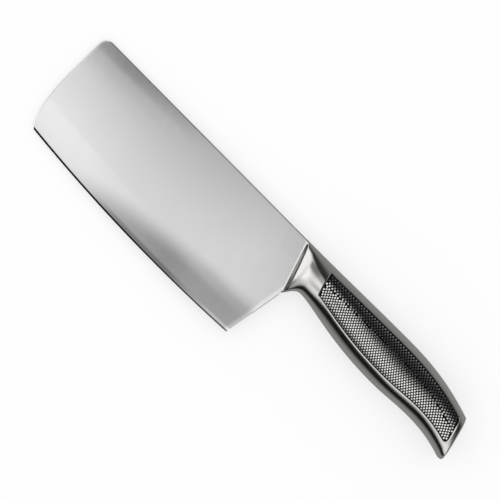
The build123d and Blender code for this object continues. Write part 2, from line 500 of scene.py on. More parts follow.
    def station_of(self, reach: np.ndarray, depth: np.ndarray) -> np.ndarray:
        """Station through a point of the side view.

        Args:
            reach: Reach of each point.
            depth: Its depth.

        Returns:
            One station for each.
        """
        station = reach - depth * tan_of(self.rake)
        for _ in range(STATION_ROUNDS):
            station = reach - depth * np.tan(self.slant(station))
        return station

    def lift(self, line: np.ndarray, inset: float) -> np.ndarray:
        """A line of the side view laid on the drawn-in skin.

        Args:
            line: Reach and depth of its points.
            inset: How far the skin is drawn in.

        Returns:
            Points as reach, height and z.
        """
        station = self.station_of(line[:, 0], line[:, 1])
        down = line[:, 1] / np.cos(self.slant(station))
        z = self.height(station, down, np.full(len(line), inset))
        return np.stack([line[:, 0], -line[:, 1], z], axis=1)


@dataclass
class PanelOutline:
    """The outline of a grip panel in the side view."""

    form: HandleForm
    front_reach: float = 22.6
    front_rake: float = 15.0
    top_margin: float = 4.1
    low_margin: float = 7.8
    end_margin: float = 4.2
    # Radii of the upper and the lower corner.
    front_corners: Pair = (0.75, 0.55)
    end_corners: Pair = (1.65, 2.9)
    middle_from: float = 9.0
    middle_short: float = 3.0
    farthest: float = 40.0
    per_side: int = 150
    per_end: int = 46

    def __post_init__(self) -> None:
        """Draws the edges and the middle, with a way outwards from each of its points."""
        form = self.form
        self.top_line = form.back + np.array([0.0, self.top_margin])
        self.low_line = form.belly - np.array([0.0, self.low_margin])
        self.top_downs, self.low_downs = form.crossings(self.top_line), form.crossings(self.low_line)
        self.end_station = form.butt_station + (form.cap_dome - self.end_margin) / form.butt_cos
        start, end = self.front_reach + self.middle_from, form.butt_station - self.middle_short
        reach = np.linspace(start, end, self.per_side)
        depth = (np.interp(reach, *self.top_line.T) + np.interp(reach, *self.low_line.T)) / 2
        middle = np.stack([reach, depth], axis=1)
        lean = math.radians(form.butt_rake)
        up = np.array([-math.sin(lean), -math.cos(lean)])
        angles = np.linspace(0, math.pi, self.per_end + 2)[1:-1]
        fan = np.stack([
            up[0] * np.cos(angles) - up[1] * np.sin(angles),
            up[1] * np.cos(angles) + up[0] * np.sin(angles),
        ], axis=1)
        ends = [np.repeat(middle[spot], self.per_end, axis=0) for spot in (slice(-1, None), slice(1))]
        ups = np.repeat(up[None], self.per_side, axis=0)
        self.middle = np.concatenate([middle, ends[0], middle[::-1], ends[1]])
        self.ways = np.concatenate([ups, fan, -ups, -fan])

    def front_station(self, depth: np.ndarray) -> np.ndarray:
        """Station at which the front edge lies at a depth."""
        return self.form.station_of(self.front_reach + depth * tan_of(self.front_rake), depth)

    def inside(self, reach: np.ndarray, depth: np.ndarray) -> np.ndarray:
        """Distance inside the outline.

        Args:
            reach: Reach of each point.
            depth: Depth of each point.

        Returns:
            Distance to the outline, below nothing outside it.
        """
        top = depth - np.interp(reach, *self.top_line.T)
        low = np.interp(reach, *self.low_line.T) - depth
        rake = math.radians(self.front_rake)
        front = (reach - self.front_reach - depth * math.tan(rake)) * math.cos(rake)
        slant = float(self.form.slant(np.array(self.end_station)))
        end = (self.end_station + depth * math.tan(slant) - reach) * math.cos(slant)
        nearest = np.minimum(np.minimum(top, low), np.minimum(front, end))
        for across, corners in ((front, self.front_corners), (end, self.end_corners)):
            for along, radius in zip((top, low), corners):
                rounded = radius - np.hypot(radius - along, radius - across)
                in_corner = (along < radius) & (across < radius)
                nearest = np.where(in_corner, np.minimum(nearest, rounded), nearest)
        return nearest

    def loop(self, level: float) -> np.ndarray:
        """The closed line at one distance inside the outline.

        Args:
            level: Distance inside the outline.

        Returns:
            Reach and depth of the line, one row for each way.
        """
        near, far = np.zeros(len(self.middle)), np.full(len(self.middle), self.farthest)
        for _ in range(HALVINGS):
            trial = (near + far) / 2
            place = self.middle + self.ways * trial[:, None]
            within = self.inside(place[:, 0], place[:, 1]) > level
            near, far = np.where(within, trial, near), np.where(within, far, trial)
        return self.middle + self.ways * near[:, None]

    def rings(self, edge: np.ndarray, shares: Sequence[float], inset: float) -> list[np.ndarray]:
        """Lines that close in from an edge towards the middle, laid on the drawn-in skin.

        Args:
            edge: The closed line at the edge.
            shares: How far in each lies, from 0 at the edge to 1.
            inset: How far the skin is drawn in.

        Returns:
            One ring of points for each share.
        """
        return [self.form.lift(edge + (self.middle - edge) * share, inset) for share in shares]


# Finishes


class Socket(Enum):
    """Kinds of socket of a node group."""

    NUMBER = "NodeSocketFloat"
    COUNT = "NodeSocketInt"
    PLACE = "NodeSocketVector"
    GEOMETRY = "NodeSocketGeometry"
    OBJECT = "NodeSocketObject"
    MATERIAL = "NodeSocketMaterial"


@dataclass(frozen=True)
class Value:
    """An output of a node, which takes part in sums as a number does."""

    wiring: "Wiring"
    socket: bpy.types.NodeSocket

    def __add__(self, other: Amount) -> "Value":
        """This and the other together."""
        return self.wiring.maths("ADD", self, other)

    def __sub__(self, other: Amount) -> "Value":
        """This less the other."""
        return self.wiring.maths("SUBTRACT", self, other)

    def __rsub__(self, other: float) -> "Value":
        """A number less this."""
        return self.wiring.maths("SUBTRACT", other, self)

    def __mul__(self, other: Amount) -> "Value":
        """This times the other."""
        return self.wiring.maths("MULTIPLY", self, other)

    def __truediv__(self, other: Amount) -> "Value":
        """This divided by the other."""
        return self.wiring.maths("DIVIDE", self, other)

    def held(self, low: float, high: float) -> "Value":
        """This, kept between two limits."""
        return self.wiring.maths("MINIMUM", self.wiring.maths("MAXIMUM", self, low), high)

    def ease(self, low: float, high: float, start: float = 0.0, end: float = 1.0) -> "Value":
        """Smooth step from one number to another.

        Args:
            low: Where the step starts.
            high: Where it ends.
            start: Result below it.
            end: Result above it.

        Returns:
            The result.
        """
        inputs = {"Value": self, "From Min": low, "From Max": high, "To Min": start, "To Max": end}
        step = self.wiring.add("ShaderNodeMapRange", inputs, interpolation_type="SMOOTHSTEP", clamp=True)
        return step["Result"]

    def grown(self, start: float, full: float) -> "Value":
        """Share that grows from 0 at the start to 1 where it is full, whichever is the lower."""
        rising = full > start
        return self.ease(min(start, full), max(start, full), float(not rising), float(rising))

    def rise_and_fall(self, marks: Marks) -> "Value":
        """Rises from 0 to 1 between the first two marks and falls back between the last two."""
        return self.ease(*marks[:2]) * self.ease(*marks[2:], 1.0, 0.0)

    def toned(self, tone: Amount) -> "Value":
        """Factor that goes from 1 to a tone as this goes from 0 to 1."""
        return self * (tone - 1.0) + 1.0


@dataclass(frozen=True)
class Made:
    """A node that stands in its tree."""

    wiring: "Wiring"
    node: bpy.types.Node

    def __getitem__(self, output: Union[str, int]) -> Value:
        """One of the node's outputs, by name or number."""
        return Value(self.wiring, self.node.outputs[output])


class Wiring:
    """A node tree in the making."""

    def __init__(self, tree: bpy.types.NodeTree) -> None:
        """Takes up a tree."""
        self.tree = tree

    def sockets(self, way: str, kind: Socket, names: Sequence[str], first: Sequence[float] = ()) -> None:
        """Adds sockets of one kind to a group.

        Args:
            way: INPUT or OUTPUT.
            kind: Their kind.
            names: Their names.
            first: First value of each, if they have one.
        """
        made = [self.tree.interface.new_socket(name, in_out=way, socket_type=kind.value) for name in names]
        for socket, value in zip(made, first):
            socket.default_value = value

    def feed(self, node: bpy.types.Node, socket: Union[str, int], value: object) -> None:
        """Sets an input of a node or links an output to it.

        Args:
            node: Node with the input.
            socket: Name or number of the input.
            value: Output of another node, or plain value.
        """
        if isinstance(value, Value):
            self.tree.links.new(value.socket, node.inputs[socket])
        else:
            node.inputs[socket].default_value = value

    def add(self, kind: str, inputs: Inputs | None = None, **settings: object) -> Made:
        """Adds a node.

        Args:
            kind: Type of the node.
            inputs: What goes into its inputs, by name or number.
            **settings: Values of its properties.

        Returns:
            The node.
        """
        node = self.tree.nodes.new(kind)
        for name, value in settings.items():
            setattr(node, name, value)
        for socket, value in (inputs or {}).items():
            self.feed(node, socket, value)
        return Made(self, node)

    def take(self, kind: str, inputs: Inputs | None = None, **settings: object) -> Value:
        """Adds a node as `add` does and gives its first output."""
        return self.add(kind, inputs, **settings)[0]

    def maths(self, operation: str, *values: Amount, clamp: bool = False) -> Value:
        """Works on numbers.

        Args:
            operation: What to do with them.
            *values: Numbers or outputs.
            clamp: Whether to keep the result between 0 and 1.

        Returns:
            The result.
        """
        return self.take("ShaderNodeMath", dict(enumerate(values)), operation=operation, use_clamp=clamp)

    def vectors(self, operation: str, *values: object) -> Made:
        """Works on vectors, and gives the node with both its outputs."""
        return self.add("ShaderNodeVectorMath", dict(enumerate(values)), operation=operation)

    def scaled(self, vector: object, factor: Amount) -> Value:
        """A vector or a colour times a number."""
        return self.take("ShaderNodeVectorMath", {0: vector, "Scale": factor}, operation="SCALE")

    def join(self, x: Amount = 0.0, y: Amount = 0.0, z: Amount = 0.0) -> Value:
        """Vector of three numbers."""
        return self.take("ShaderNodeCombineXYZ", {0: x, 1: y, 2: z})

    def parts(self, place: Value) -> list[Value]:
        """The three numbers of a vector."""
        node = self.add("ShaderNodeSeparateXYZ", {0: place})
        return [node[number] for number in range(3)]

    def turned(self, place: Value, degrees: float) -> Value:
        """A place turned about z."""
        turn = (0.0, 0.0, math.radians(degrees))
        return self.take("ShaderNodeMapping", {"Vector": place, "Rotation": turn})

    def noise(self, place: Value, scale: Amount, detail: float = 2.0, distortion: float = 0.0) -> Value:
        """Cloudy noise about its mean.

        Args:
            place: Where it is asked for.
            scale: How fine it is.
            detail: How many finer layers it has.
            distortion: How much it is stirred.

        Returns:
            The noise.
        """
        inputs = {"Vector": place, "Scale": scale, "Detail": detail, "Distortion": distortion}
        return self.take("ShaderNodeTexNoise", inputs)


class Paint(Wiring):
    """A material in the making."""

    def __init__(self, name: str) -> None:
        """Starts the material with nothing but its outlet.

        Args:
            name: Name of the material.
        """
        self.material = bpy.data.materials.new(name)
        self.material.use_nodes = True
        super().__init__(self.material.node_tree)
        self.tree.nodes.clear()
        self.outlet = self.add("ShaderNodeOutputMaterial").node

    def place(self) -> Value:
        """Place on the piece."""
        return self.add("ShaderNodeTexCoord")["Object"]

    def show(self, shader: Value) -> bpy.types.Material:
        """Puts a shader on show and gives the finished material."""
        self.feed(self.outlet, "Surface", shader)
        return self.material


class Effects:
    """Effects that more than one finish uses, each built once as a node group."""

    coarse_share: float = 0.22
    coarse_depth: float = 0.8
    smudge_detail: float = 3.0
    smudge_stir: float = 0.6

    def __init__(self) -> None:
        """Builds the groups."""
        self.brushing = self._brushing()
        self.smudges = self._smudges()

    def _start(self, name: str, names: Sequence[str], first: Sequence[float]) -> Wiring:
        """Starts a group that gives a tone about 1 and a change of roughness for a place.

        Args:
            name: Name of the group.
            names: Names of the numbers that it takes before the two depths.
            first: First value of each number and of the depths.

        Returns:
            The group's wiring.
        """
        group = Wiring(bpy.data.node_groups.new(name, "ShaderNodeTree"))
        group.sockets("INPUT", Socket.PLACE, ("Place",))
        group.sockets("INPUT", Socket.NUMBER, (*names, "Tone Depth", "Roughness Depth"), first)
        group.sockets("OUTPUT", Socket.NUMBER, ("Tone", "Roughness"))
        return group

    def _finish(self, group: Wiring, given: Made, level: Value) -> bpy.types.NodeTree:
        """Turns a level about 0 into the outputs of a group.

        Args:
            group: The group's wiring.
            given: Its inlet.
            level: The level.

        Returns:
            The group.
        """
        tone = level * given["Tone Depth"] + 1.0
        group.add("NodeGroupOutput", {"Tone": tone, "Roughness": level * given["Roughness Depth"]})
        return group.tree

    def _brushing(self) -> bpy.types.NodeTree:
        """Fine lines of a brushed metal.

        Returns:
            The group.
        """
        group = self._start("Brushing", ("Along", "Across"), (40.0, 2400.0, 0.05, 0.05))
        given = group.add("NodeGroupInput")
        x, y, z = group.parts(given["Place"])
        lines = []
        for share in (1.0, self.coarse_share):
            across, along = given["Across"] * share, given["Along"]
            lines.append(group.noise(group.join(x * across, y * along, z * along), 1.0) - NOISE_MEAN)
        return self._finish(group, given, lines[0] + lines[1] * self.coarse_depth)

    def _smudges(self) -> bpy.types.NodeTree:
        """Soft uneven patches, as handling and wiping leave.

        Returns:
            The group.
        """
        group = self._start("Smudges", ("Scale",), (40.0, 0.04, 0.06))
        given = group.add("NodeGroupInput")
        cloud = group.noise(given["Place"], given["Scale"], self.smudge_detail, self.smudge_stir)
        return self._finish(group, given, cloud - NOISE_MEAN)


@dataclass(frozen=True)
class SteelFinish:
    """A brushed or satin steel, with the scales of its brushing and smudges per metre."""

    name: str
    colour: tuple[float, float, float]
    roughness: float
    brush_along: float
    brush_across: float
    smudge_scale: float
    smudge_tone: float
    smudge_roughness: float
    turn: float = 0.0
    brush_tone: float = 0.05
    brush_roughness: float = 0.05

    def make(self, effects: Effects) -> bpy.types.Material:
        """Makes the material from the shared effects."""
        paint = Paint(self.name)
        return self.dress(paint, *self.surface(paint, effects, paint.place()))

    def surface(self, paint: Paint, effects: Effects, place: Value) -> tuple[Value, Value]:
        """Adds the brushing and the smudges.

        Args:
            paint: The material in the making.
            effects: The shared effects.
            place: Place on the piece.

        Returns:
            Tone and roughness.
        """
        brushing = paint.add("ShaderNodeGroup", {
            "Place": paint.turned(place, self.turn),
            "Along": self.brush_along,
            "Across": self.brush_across,
            "Tone Depth": self.brush_tone,
            "Roughness Depth": self.brush_roughness,
        }, node_tree=effects.brushing)
        smudges = paint.add("ShaderNodeGroup", {
            "Place": place,
            "Scale": self.smudge_scale,
            "Tone Depth": self.smudge_tone,
            "Roughness Depth": self.smudge_roughness,
        }, node_tree=effects.smudges)
        rough = brushing["Roughness"] + smudges["Roughness"]
        return brushing["Tone"] * smudges["Tone"], paint.maths("ADD", rough, self.roughness, clamp=True)

    def dress(self, paint: Paint, tone: Value, rough: Value) -> bpy.types.Material:
        """Finishes the material.

        Args:
            paint: The material in the making.
            tone: Tone of the colour.
            rough: Roughness.

        Returns:
            The material.
        """
        inputs = {"Metallic": 1.0, "Base Color": paint.scaled(self.colour, tone), "Roughness": rough}
        return paint.show(paint.take("ShaderNodeBsdfPrincipled", inputs))


@dataclass(frozen=True)
class PaintedLightZone:
    """A corner of the blade's flat whose colour is made darker or lighter: painted shade or painted light.

    Each pair says where the zone begins and where it is full: depths below the spine, and
    reaches along the blade.
    """

    tone: float
    depths: Pair
    reaches: Pair

    def shade(self, frame_map: FrameMap, x: Value, y: Value) -> Value:
        """Adds the zone's painted shade or painted light to a material.

        Args:
            frame_map: Where the side view lies in the frame.
            x: First part of the place.
            y: Second part of the place.

        Returns:
            Tone, 1 away from the zone.
        """
        depth = (frame_map.spot(0.0)[1] - y) / MM
        start, full = (frame_map.spot(reach)[0] for reach in self.reaches)
        return (depth.grown(*self.depths) * x.grown(start, full)).toned(self.tone)


@dataclass(frozen=True)
class BladeFinish:
    """Brushed steel with a ground band that widens from the tip to the heel, with painted shade and painted
    highlights in its colour.
    """

    steel: SteelFinish
    arc_centre: Pair
    arc_radius: float
    heel: Pair
    heel_top: Pair
    tip_reach: float = -140.0
    band_height: float = 27.0
    band_fade: float = 16.0
    band_powers: Pair = (2.6, 2.8)
    # Painted shade: the ground band's darker reflection is painted into its colour; only its change of
    # roughness is real.
    band_shade_tone: float = 0.42
    band_roughness: float = -0.04
    # Painted highlight: a paler strip along the heel.
    heel_highlight_tone: float = 1.55
    heel_highlight_widths: Pair = (0.3, 3.6)
    # Painted shade near the spine's front corner, and painted light over the band near the heel.
    painted_light_zones: tuple[PaintedLightZone, ...] = (
        PaintedLightZone(0.78, depths=(25.0, 3.0), reaches=(-96.0, -150.0)),
        PaintedLightZone(1.27, depths=(53.0, 58.5), reaches=(-52.0, -24.0)),
    )
    # Painted shade: the bevel's dark reflection is painted into its colour, darkest towards the tip; its
    # lower roughness is real.
    bevel_heights: Pair = (1.08, 1.32)
    bevel_shares: Pair = (0.25, 0.6)
    bevel_shade_tones: Pair = (0.36, 1.0)
    bevel_roughness: float = -0.16
    # Painted shade: a darker strip along the cutting edge, up to about 4 mm above it, over the middle of its
    # length.
    fringe_shade_tone: float = 0.58
    fringe_heights: Pair = (2.3, 4.2)
    fringe_shares: Marks = (0.20, 0.40, 0.64, 0.84)
    # Painted highlight: a bright line 1 to 3 mm above the cutting edge, near the heel.
    edge_highlight_tone: float = 1.45
    edge_highlight_heights: Marks = (1.0, 1.5, 2.2, 3.0)
    edge_highlight_shares: Pair = (0.80, 0.92)
    unevenness: float = 2.2
    uneven_scale: float = 22.0

    def make(self, effects: Effects, frame_map: FrameMap) -> bpy.types.Material:
        """Makes the material.

        Args:
            effects: The shared effects.
            frame_map: Where the side view lies in the frame.

        Returns:
            The material.
        """
        paint = Paint(self.steel.name)
        place = paint.place()
        tone, rough = self.steel.surface(paint, effects, place)
        x, y, _ = paint.parts(place)
        flat = paint.join(x, y)
        centre = frame_map.spot(*self.arc_centre)
        gap = paint.vectors("DISTANCE", flat, (*centre[:2], 0.0))["Value"]
        above = (self.arc_radius * MM - gap) / MM
        uneven = (paint.noise(place, self.uneven_scale) - NOISE_MEAN) * self.unevenness
        tip, heel = (frame_map.spot(reach)[0] for reach in (self.tip_reach, self.heel[0]))
        along = paint.maths("DIVIDE", x - tip, heel - tip, clamp=True)
        widening, deepening = (1.0 - paint.maths("POWER", 1.0 - along, power) for power in self.band_powers)
        below = widening * self.band_height + uneven - above
        band = below.ease(0.0, self.band_fade) * deepening
        bevel = above.ease(*self.bevel_heights, 1.0, 0.0)
        fringe_shade = above.ease(*self.fringe_heights, 1.0, 0.0) * along.rise_and_fall(self.fringe_shares)
        # Mask of the painted highlight along the edge near the heel.
        thin_line = above.rise_and_fall(self.edge_highlight_heights) * along.ease(*self.edge_highlight_shares)
        # Each factor below is painted shade or a painted highlight, laid on the brushed and smudged tone.
        factors = [
            band.toned(self.band_shade_tone),
            bevel.toned(along.ease(*self.bevel_shares, *self.bevel_shade_tones)),
            fringe_shade.toned(self.fringe_shade_tone),
            thin_line.toned(self.edge_highlight_tone),
            self._heel_highlight(paint, frame_map, flat),
            *(zone.shade(frame_map, x, y) for zone in self.painted_light_zones),
        ]
        for factor in factors:
            tone = tone * factor
        polish = bevel * self.bevel_roughness
        rough = paint.maths("ADD", rough + band * self.band_roughness, polish, clamp=True)
        return self.steel.dress(paint, tone, rough)

    def _heel_highlight(self, paint: Paint, frame_map: FrameMap, flat: Value) -> Value:
        """Adds a painted highlight: the paler strip along the heel.

        Args:
            paint: The material in the making.
            frame_map: Where the side view lies in the frame.
            flat: Place in the side view.

        Returns:
            Tone, 1 away from the heel.
        """
        low, high = (np.array(frame_map.spot(reach, -depth)) for reach, depth in (self.heel, self.heel_top))
        rise, run, _ = unit(high - low).tolist()
        offset = paint.vectors("SUBTRACT", flat, (*low[:2].tolist(), 0.0))[0]
        gap = paint.vectors("DOT_PRODUCT", offset, (-run, rise, 0.0))["Value"]
        return (gap / MM).ease(*self.heel_highlight_widths, self.heel_highlight_tone, 1.0)


@dataclass(frozen=True)
class GripFinish:
    """Black lacquer in the recess of the handle."""

    name: str = "grip_black"
    colour: tuple[float, float, float] = (0.004, 0.004, 0.0042)
    roughness: float = 0.42
    gloss: float = 0.08
    grain: float = 900.0
    grain_strength: float = 0.35
    grain_height: float = 0.05
    smudge_scale: float = 90.0
    smudge_tone: float = 0.5
    smudge_roughness: float = 0.12

    def make(self, effects: Effects) -> bpy.types.Material:
        """Makes the material.

        Args:
            effects: The shared effects.

        Returns:
            The material.
        """
        paint = Paint(self.name)
        place = paint.place()
        smudges = paint.add("ShaderNodeGroup", {
            "Place": place,
            "Scale": self.smudge_scale,
            "Tone Depth": self.smudge_tone,
            "Roughness Depth": self.smudge_roughness,
        }, node_tree=effects.smudges)
        return paint.show(paint.take("ShaderNodeBsdfPrincipled", {
            "Base Color": paint.scaled(self.colour, smudges["Tone"]),
            "Roughness": smudges["Roughness"] + self.roughness,
            "Normal": paint.take("ShaderNodeBump", {
                "Strength": self.grain_strength,
                "Distance": self.grain_height * MM,
                "Height": paint.noise(place, self.grain),
            }),
            "Specular IOR Level": self.gloss,
        }))


BLADE_STEEL = SteelFinish(
    name="blade_steel",
    colour=(0.80, 0.80, 0.80),
    roughness=0.24,
    brush_along=60.0,
    brush_across=2600.0,
    smudge_scale=30.0,
    smudge_tone=0.03,
    smudge_roughness=0.05,
    turn=-22.0,
)
HANDLE_STEEL = SteelFinish(
    name="handle_steel",
    colour=(0.72, 0.712, 0.69),
    roughness=0.13,
    brush_along=60.0,
    brush_across=1800.0,
    smudge_scale=60.0,
    smudge_tone=0.05,
    smudge_roughness=0.06,
    turn=90.0,
)
DOT_STEEL = SteelFinish(
    name="dot_steel",
    colour=(0.92, 0.92, 0.90),
    roughness=0.18,
    brush_along=300.0,
    brush_across=900.0,
    smudge_scale=500.0,
    smudge_tone=0.12,
    smudge_roughness=0.08,
)


# Pieces


@dataclass
class Blade:
    """The blade: a ground plate with a rounded spine, front edge and heel."""

    length: float = 165.5
    height: float = 72.7
    half: float = BLADE_HALF
    lowest_place: float = 110.5
    front_corner: Pair = (8.4, 67.8)
    front_straight: float = 27.0
    front_curve: Pair = (1.4, 48.7)
    front_curve_turn: float = 80.0
    front_corner_turn: float = 48.0
    front_pulls: Pair = (0.33, 0.33)
    top_corner_radius: float = 5.5
    top_corner_steps: int = 12
    heel: Pair = (4.9, 71.0)
    heel_top_depth: float = 33.6
    front_rake: float = 18.5
    tuck: float = 0.4
    rim_round: float = 0.35
    heel_round: float = 0.3
    heel_drop: float = 0.08
    tip_roll: float = 0.42
    tip_roll_width: float = 8.5
    tip_roll_fade: Pair = (-165.0, -70.0)
    grind_height: float = 19.0
    grind_bow: float = 0.12
    bevel_height: float = 1.0
    bevel_half: float = 0.34
    edge_half: float = 0.04
    front_cuts: int = 700
    heel_cuts: int = 400
    columns: int = 130
    first_columns: tuple[float, ...] = (0.0004, 0.001, 0.0018, 0.0028)
    last_columns: tuple[float, ...] = (0.989, 0.9905, 0.992, 0.9935, 0.995, 0.9965, 0.998, 0.9992)
    rows: int = 64
    first_rows: tuple[float, ...] = (0.0008, 0.0018, 0.0032, 0.005, 0.012, 0.02, 0.03, 0.045, 0.06, 0.08)
    last_rows: tuple[float, ...] = (0.955, 0.972, 0.98, 0.985, 0.9865, 0.99, 0.995)

    def __post_init__(self) -> None:
        """Finds the circle of the cutting edge and the top of the heel."""
        one = complex(self.front_corner[0] - self.length, self.front_corner[1])
        two = complex(self.lowest_place - self.length, self.height)
        ratio = (complex(*self.heel) - one) / (two - one)
        centre = (two - one) * (ratio - abs(ratio) ** 2) / (2j * ratio.imag) + one
        self.arc_centre = (centre.real, -centre.imag)
        self.arc_radius = abs(one - centre)
        self.heel_top = (self.heel_top_depth * tan_of(self.front_rake), self.heel_top_depth)

    def edge(self, shares: np.ndarray) -> np.ndarray:
        """Points of the cutting edge.

        Args:
            shares: Shares of the way from the front corner to the heel.

        Returns:
            Reach and depth of each.
        """
        reach = np.interp(shares, [0, 1], [self.front_corner[0] - self.length, self.heel[0]])
        rise = np.sqrt(self.arc_radius**2 - (reach - self.arc_centre[0]) ** 2)
        return np.stack([reach, rise - self.arc_centre[1]], axis=1)

    def sides(self) -> tuple[np.ndarray, np.ndarray, np.ndarray]:
        """Lines of the spine, the front edge and the heel, as reach and depth.

        Returns:
            Spine from the front corner back, front edge from that corner down, and bolster line and
            heel from the spine down.
        """
        radius = self.top_corner_radius
        angles = np.radians(np.linspace(45, 90, self.top_corner_steps))
        corner = np.array([radius - self.length, radius])
        arc = radius * np.stack([-np.cos(angles), -np.sin(angles)], axis=1)
        straight = (-self.length, self.front_straight)
        curve, end = ((place[0] - self.length, place[1]) for place in (self.front_curve, self.front_corner))
        front = np.concatenate([
            corner + arc[:, ::-1],
            bend(straight, 90, curve, self.front_curve_turn, self.front_pulls),
            bend(curve, self.front_curve_turn, end, self.front_corner_turn, self.front_pulls),
        ])
        tucked = (self.heel_top[0] + self.tuck / 2, self.heel_top[1] - self.tuck)
        spine = np.concatenate([corner + arc, [[self.tuck, 0.0]]])
        return spine, front, np.array([(self.tuck, 0.0), tucked, self.heel_top, self.heel])

    def half_at(self, place: np.ndarray, front: np.ndarray, heel: np.ndarray) -> np.ndarray:
        """Half the blade's thickness at each place.

        Args:
            place: Reach and depth of the places.
            front: Line of the front edge.
            heel: Line of the heel.

        Returns:
            Half thickness of each.
        """
        gap = np.hypot(place[..., 0] - self.arc_centre[0], place[..., 1] + self.arc_centre[1])
        above = self.arc_radius - gap
        share = np.clip((above - self.bevel_height) / (self.grind_height - self.bevel_height), 0, 1)
        bow = 4 * self.grind_bow * share * (1 - share)
        ground = self.bevel_half + (self.half - self.bevel_half) * share + bow
        bevel = self.edge_half + (self.bevel_half - self.edge_half) * np.clip(above / self.bevel_height, 0, 1)
        plate = np.where(above < self.bevel_height, bevel, np.minimum(ground, self.half))
        front_gap, heel_gap = (
            distance_to(place.reshape(-1, 2), line, cuts).reshape(place.shape[:-1])
            for line, cuts in ((front, self.front_cuts), (heel, self.heel_cuts))
        )
        depth = np.maximum(place[..., 1], 0.0)
        rim = round_drop(np.minimum(depth, front_gap), self.rim_round, self.rim_round)
        heel_rim = round_drop(heel_gap, self.heel_round, self.heel_drop)
        fade = 1 - smooth(place[..., 0], *self.tip_roll_fade)
        roll = self.tip_roll * fade * np.clip(1 - depth / self.tip_roll_width, 0, 1) ** 2
        return np.maximum(np.minimum(plate, self.half - np.maximum(rim, heel_rim) - roll), self.edge_half)

    def make(self, frame_map: FrameMap, material: bpy.types.Material) -> bpy.types.Object:
        """Builds the blade.

        Args:
            frame_map: Where the side view lies in the frame.
            material: Its finish.

        Returns:
            The blade.
        """
        spine, front, heel = self.sides()
        across = graded(self.columns, self.first_columns, self.last_columns)
        down = graded(self.rows, self.first_rows, self.last_rows)
        top, bottom = spread(spine, across), self.edge(across)
        left, right = spread(front, down), spread(heel, down)
        a, b = across[None, :, None], down[:, None, None]
        place = (
            (1 - b) * top[None] + b * bottom[None] + (1 - a) * left[:, None] + a * right[:, None]
            - (1 - a) * (1 - b) * top[0] - a * (1 - b) * top[-1]
            - (1 - a) * b * bottom[0] - a * b * bottom[-1]
        )
        half = self.half_at(place, front, heel[2:])
        near = np.stack([place[..., 0], -place[..., 1], half], axis=-1)
        normals = np.cross(tangents(near, 1), tangents(near, 0))
        normals *= np.sign(normals[..., 2:3] + TINY)
        rim = np.concatenate([near[0, :-1], near[:-1, -1], near[-1, :0:-1], near[:0:-1, 0]])
        out = unit(np.cross(tangents(rim[None], 1, closed=True)[0], np.array([0.0, 0.0, 1.0])))
        out *= np.sign(np.sum(out * (rim - rim.mean(axis=0))))
        draft = MeshDraft()
        draft.grid(near, normals)
        draft.grid(near * MIRROR, normals * MIRROR)
        draft.grid(np.stack([rim, rim * MIRROR]), np.stack([out, out]), closed=True)
        return draft.build("cleaver_blade", frame_map, material)


